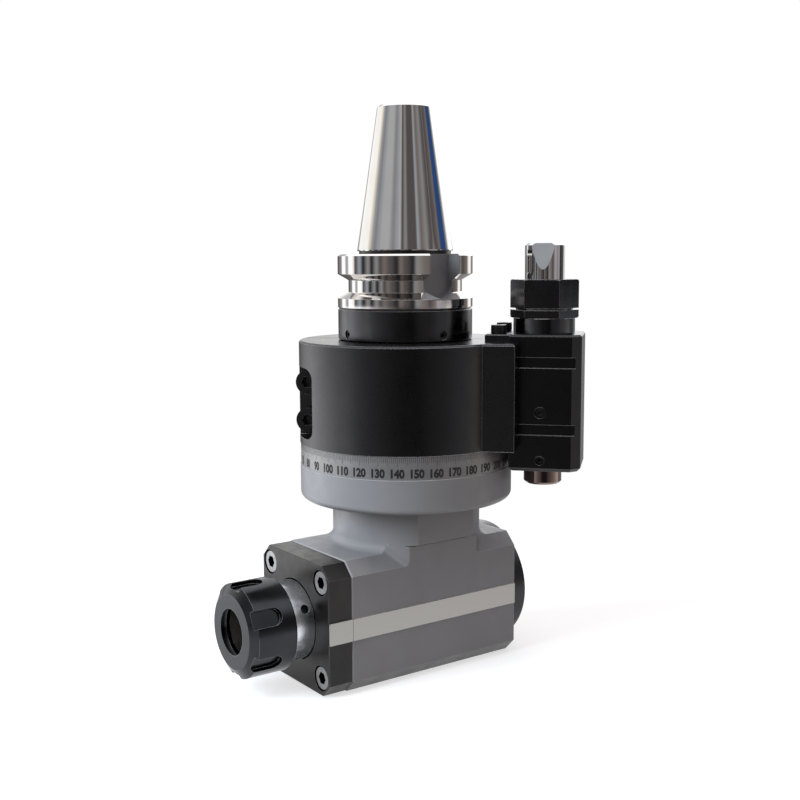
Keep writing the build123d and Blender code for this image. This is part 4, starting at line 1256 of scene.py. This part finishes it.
@dataclass
class Dial(SubAssembly):
    """The graduated dial below the clamp body, with its marks and numbers.

    Attributes:
        zero_azimuth: Where the dial reads 0, in degrees from +X towards +Y.
        line_width: Width of a mark.
        line_lengths: Length of a mark at each degree, each 5 and each 10.
        line_gap: From the dial's upper edge to the marks.
        middle_step: Degrees between marks of the middle length.
        number_step: Degrees between numbers, and between the longest marks.
        number_height: Height of a digit.
        digit_width: Width of a digit, with its gap.
        digit_gap: Gap between digits.
        stroke: How much the digits are thickened, as a share of their height.
        number_lift: From the dial's lower edge to the digits.
        curve_steps: Corners in each curve of a digit.
        sunk: How far the ink reaches into the metal.
        proud: How far the ink stands out of the metal.
    """

    finishes: ClassVar[Finishes] = {DIAL_STEEL: ("dial_ring",)}
    zero_azimuth: float = 180.0
    line_width: float = 0.17 * MM
    line_lengths: tuple[float, float, float] = (2.6 * MM, 3.5 * MM, 4.2 * MM)
    line_gap: float = 0.1 * MM
    middle_step: int = 5
    number_step: int = 10
    number_height: float = 4.1 * MM
    digit_width: float = 2.12 * MM
    digit_gap: float = 0.3 * MM
    stroke: float = 0.05
    number_lift: float = 0.9 * MM
    curve_steps: int = 4
    sunk: float = 0.04 * MM
    proud: float = 0.02 * MM

    def build(self) -> None:
        """Make the marks and the numbers."""
        low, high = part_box("dial_ring")
        self.marks(high.x, high.z)
        self.numbers(high.x, low.z)

    def azimuth(self, reading: float) -> float:
        """The place of a reading on the dial, in radians."""
        return math.radians(reading - self.zero_azimuth)

    def marks(self, radius: float, top: float) -> None:
        """Make a mark at each degree.

        Args:
            radius: Radius of the dial.
            top: Height of its upper edge.
        """
        piece = Piece("dial_marks", self.body, "dial_steel")
        half = self.line_width / 2 / radius
        inner, outer = radius - self.sunk, radius + self.proud
        for reading in range(FULL_TURN):
            size = 2 if reading % self.number_step == 0 else 1 if reading % self.middle_step == 0 else 0
            middle = self.azimuth(reading)
            rows = []
            for height in (top - self.line_lengths[size], top - self.line_gap):
                corners = ((inner, -half), (outer, -half), (outer, half), (inner, half))
                rows.append([ARBOR.point(r, middle + a, height) for r, a in corners])
            piece.add_rows(rows)
        piece.build(self.workshop.material(MARK_INK))

    def numbers(self, radius: float, bottom: float) -> None:
        """Make a number at each tenth degree, bent round the dial.

        Args:
            radius: Radius of the dial.
            bottom: Height of its lower edge.
        """
        piece = Piece("dial_numbers", self.body, "dial_steel")
        foot = bottom + self.number_lift
        for reading in range(0, FULL_TURN, self.number_step):
            points, faces = self.solid_text(str(reading))
            middle = self.azimuth(reading)
            bent = []
            for across, up, out in points:
                reach = radius - self.sunk + out * (self.sunk + self.proud)
                bent.append(ARBOR.point(reach, middle + across / radius, foot + up))
            piece.add(bent, faces)
        piece.build(self.workshop.material(DIAL_INK))

    def solid_text(self, digits: str) -> tuple[list[Point], list[Face]]:
        """A number as a solid, centred, with its foot at 0 and its depth from 0 to 1.

        Args:
            digits: The number.

        Returns:
            Its corners and its faces.
        """
        curve = bpy.data.curves.new("digits", "FONT")
        curve.body = digits
        curve.resolution_u = self.curve_steps
        curve.align_x = "CENTER"
        curve.extrude = 0.5
        curve.offset = self.stroke
        text = new_object("digits", curve)
        mesh = bpy.data.meshes.new_from_object(text)
        corners = [vertex.co for vertex in mesh.vertices]
        left, right = min(c.x for c in corners), max(c.x for c in corners)
        foot, head = min(c.y for c in corners), max(c.y for c in corners)
        width = self.digit_width * len(digits) - self.digit_gap
        points = [
            (
                ((c.x - left) / (right - left) - 0.5) * width,
                (c.y - foot) / (head - foot) * self.number_height,
                c.z + curve.extrude,
            )
            for c in corners
        ]
        faces = [tuple(polygon.vertices) for polygon in mesh.polygons]
        bpy.data.objects.remove(text)
        bpy.data.curves.remove(curve)
        bpy.data.meshes.remove(mesh)
        return points, faces


@dataclass
class ClampBody(SubAssembly):
    """The clamp body with its screws, key plate, pin block and guide sleeve.

    Attributes:
        plate_knurl: Knurl of the plate's screws.
        plate_reach: From the arbor's axis to those screws.
        plate_half_spacing: Half the distance between them.
        plate_foot: Height of the foot of their knurls.
        clamp_knurl: Knurl of the clamp screws.
        clamp_reach: From the arbor's axis to those screws.
        clamp_half_spacing: Half the distance between them.
        clamp_height: Height midway between them.
        clamp_foot: From the arbor to the foot of their knurls, along the screws.
    """

    finishes: ClassVar[Finishes] = {
        BLACK_OXIDE: ("clamp_body", "key_plate"),
        SCREW_BLACK: ("clamp_screws", "block_screws", "key_screw", "tail_screw", "plate_screws"),
        BLOCK_OXIDE: ("pin_block",),
        SLEEVE_OXIDE: ("guide_sleeve",),
    }
    body: str = "clamp_body"
    plate_knurl: Knurl = Knurl(3.5 * MM, 2.9 * MM)
    plate_reach: float = 45.5 * MM
    plate_half_spacing: float = 10.0 * MM
    plate_foot: float = -37.5 * MM
    clamp_knurl: Knurl = Knurl(5.7 * MM, 4.4 * MM)
    clamp_reach: float = 42.5 * MM
    clamp_half_spacing: float = 8.85 * MM
    clamp_height: float = -69.7 * MM
    clamp_foot: float = 13.8 * MM

    def build(self) -> None:
        """Make the knurls of the screws that stand free."""
        outward = Vector(ARBOR.point(1.0, PIN_AZIMUTH, 0.0))
        front = Vector((outward.y, -outward.x, 0.0))
        upright = Vector(Z_AXIS)
        knurls = Piece("screw_knurls", self.body, "screw_steel")
        for side in (-1, 1):
            seat = self.plate_reach * outward + side * self.plate_half_spacing * front
            axis = Axis(tuple(seat + self.plate_foot * upright), Z_AXIS, tuple(outward))
            self.plate_knurl.cut(knurls, axis)
            seat = self.clamp_foot * front - self.clamp_reach * outward
            lift = self.clamp_height + side * self.clamp_half_spacing
            axis = Axis(tuple(seat + lift * upright), tuple(front), tuple(outward))
            self.clamp_knurl.cut(knurls, axis)
        knurls.build(self.workshop.material(SCREW_BLACK))


@dataclass
class LocatingPin(SubAssembly):
    """The sprung pin that holds the clamp body against the machine, with its spring.

    Attributes:
        reach: From the arbor's axis to that of the pin.
        spring: The spring as the pin rests.
        spring_foot: Height of its foot.
        spring_closed: Share of its height that is left when the pin is down; not used.
    """

    finishes: ClassVar[Finishes] = {PIN_STEEL: ("locating_pin",), SPRING_STEEL: ("pin_spring",)}
    body: str = "clamp_body"
    reach: float = 65.0 * MM
    spring: Helix = Helix(
        foot=9.05 * MM, crest=10.85 * MM, half_foot=0.9 * MM, half_crest=0.9 * MM, pitch=3.295 * MM, turns=4
    )
    spring_foot: float = -91.99 * MM
    spring_closed: float = 0.665

    def build(self) -> None:
        """Make the spring as the pin rests, in place of the imported one."""
        start = ARBOR.point(self.reach, PIN_AZIMUTH, self.spring_foot + self.spring.half_foot)
        coil = Piece("pin_coil", self.body, "spring_steel")
        self.spring.cut(coil, Axis(start, Z_AXIS, X_AXIS))
        piece = coil.build(self.workshop.material(SPRING_STEEL))
        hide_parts("pin_spring")
        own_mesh(piece)


def main() -> None:
    """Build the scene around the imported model."""
    logging.basicConfig(level=logging.INFO, format="%(message)s")
    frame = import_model()
    bpy.context.scene.view_settings.view_transform = "Standard"
    Studio().build()
    workshop = Workshop(frame["nodes"])
    for kind in (InputArbor, GearTrain, OutputSpindle, ColletNut, GearHousing, Dial, ClampBody, LocatingPin):
        assembly = kind(workshop)
        assembly.build()
        assembly.dress()
        LOG.info("%s is built and dressed", kind.__name__)


if __name__ == "__main__":
    main()
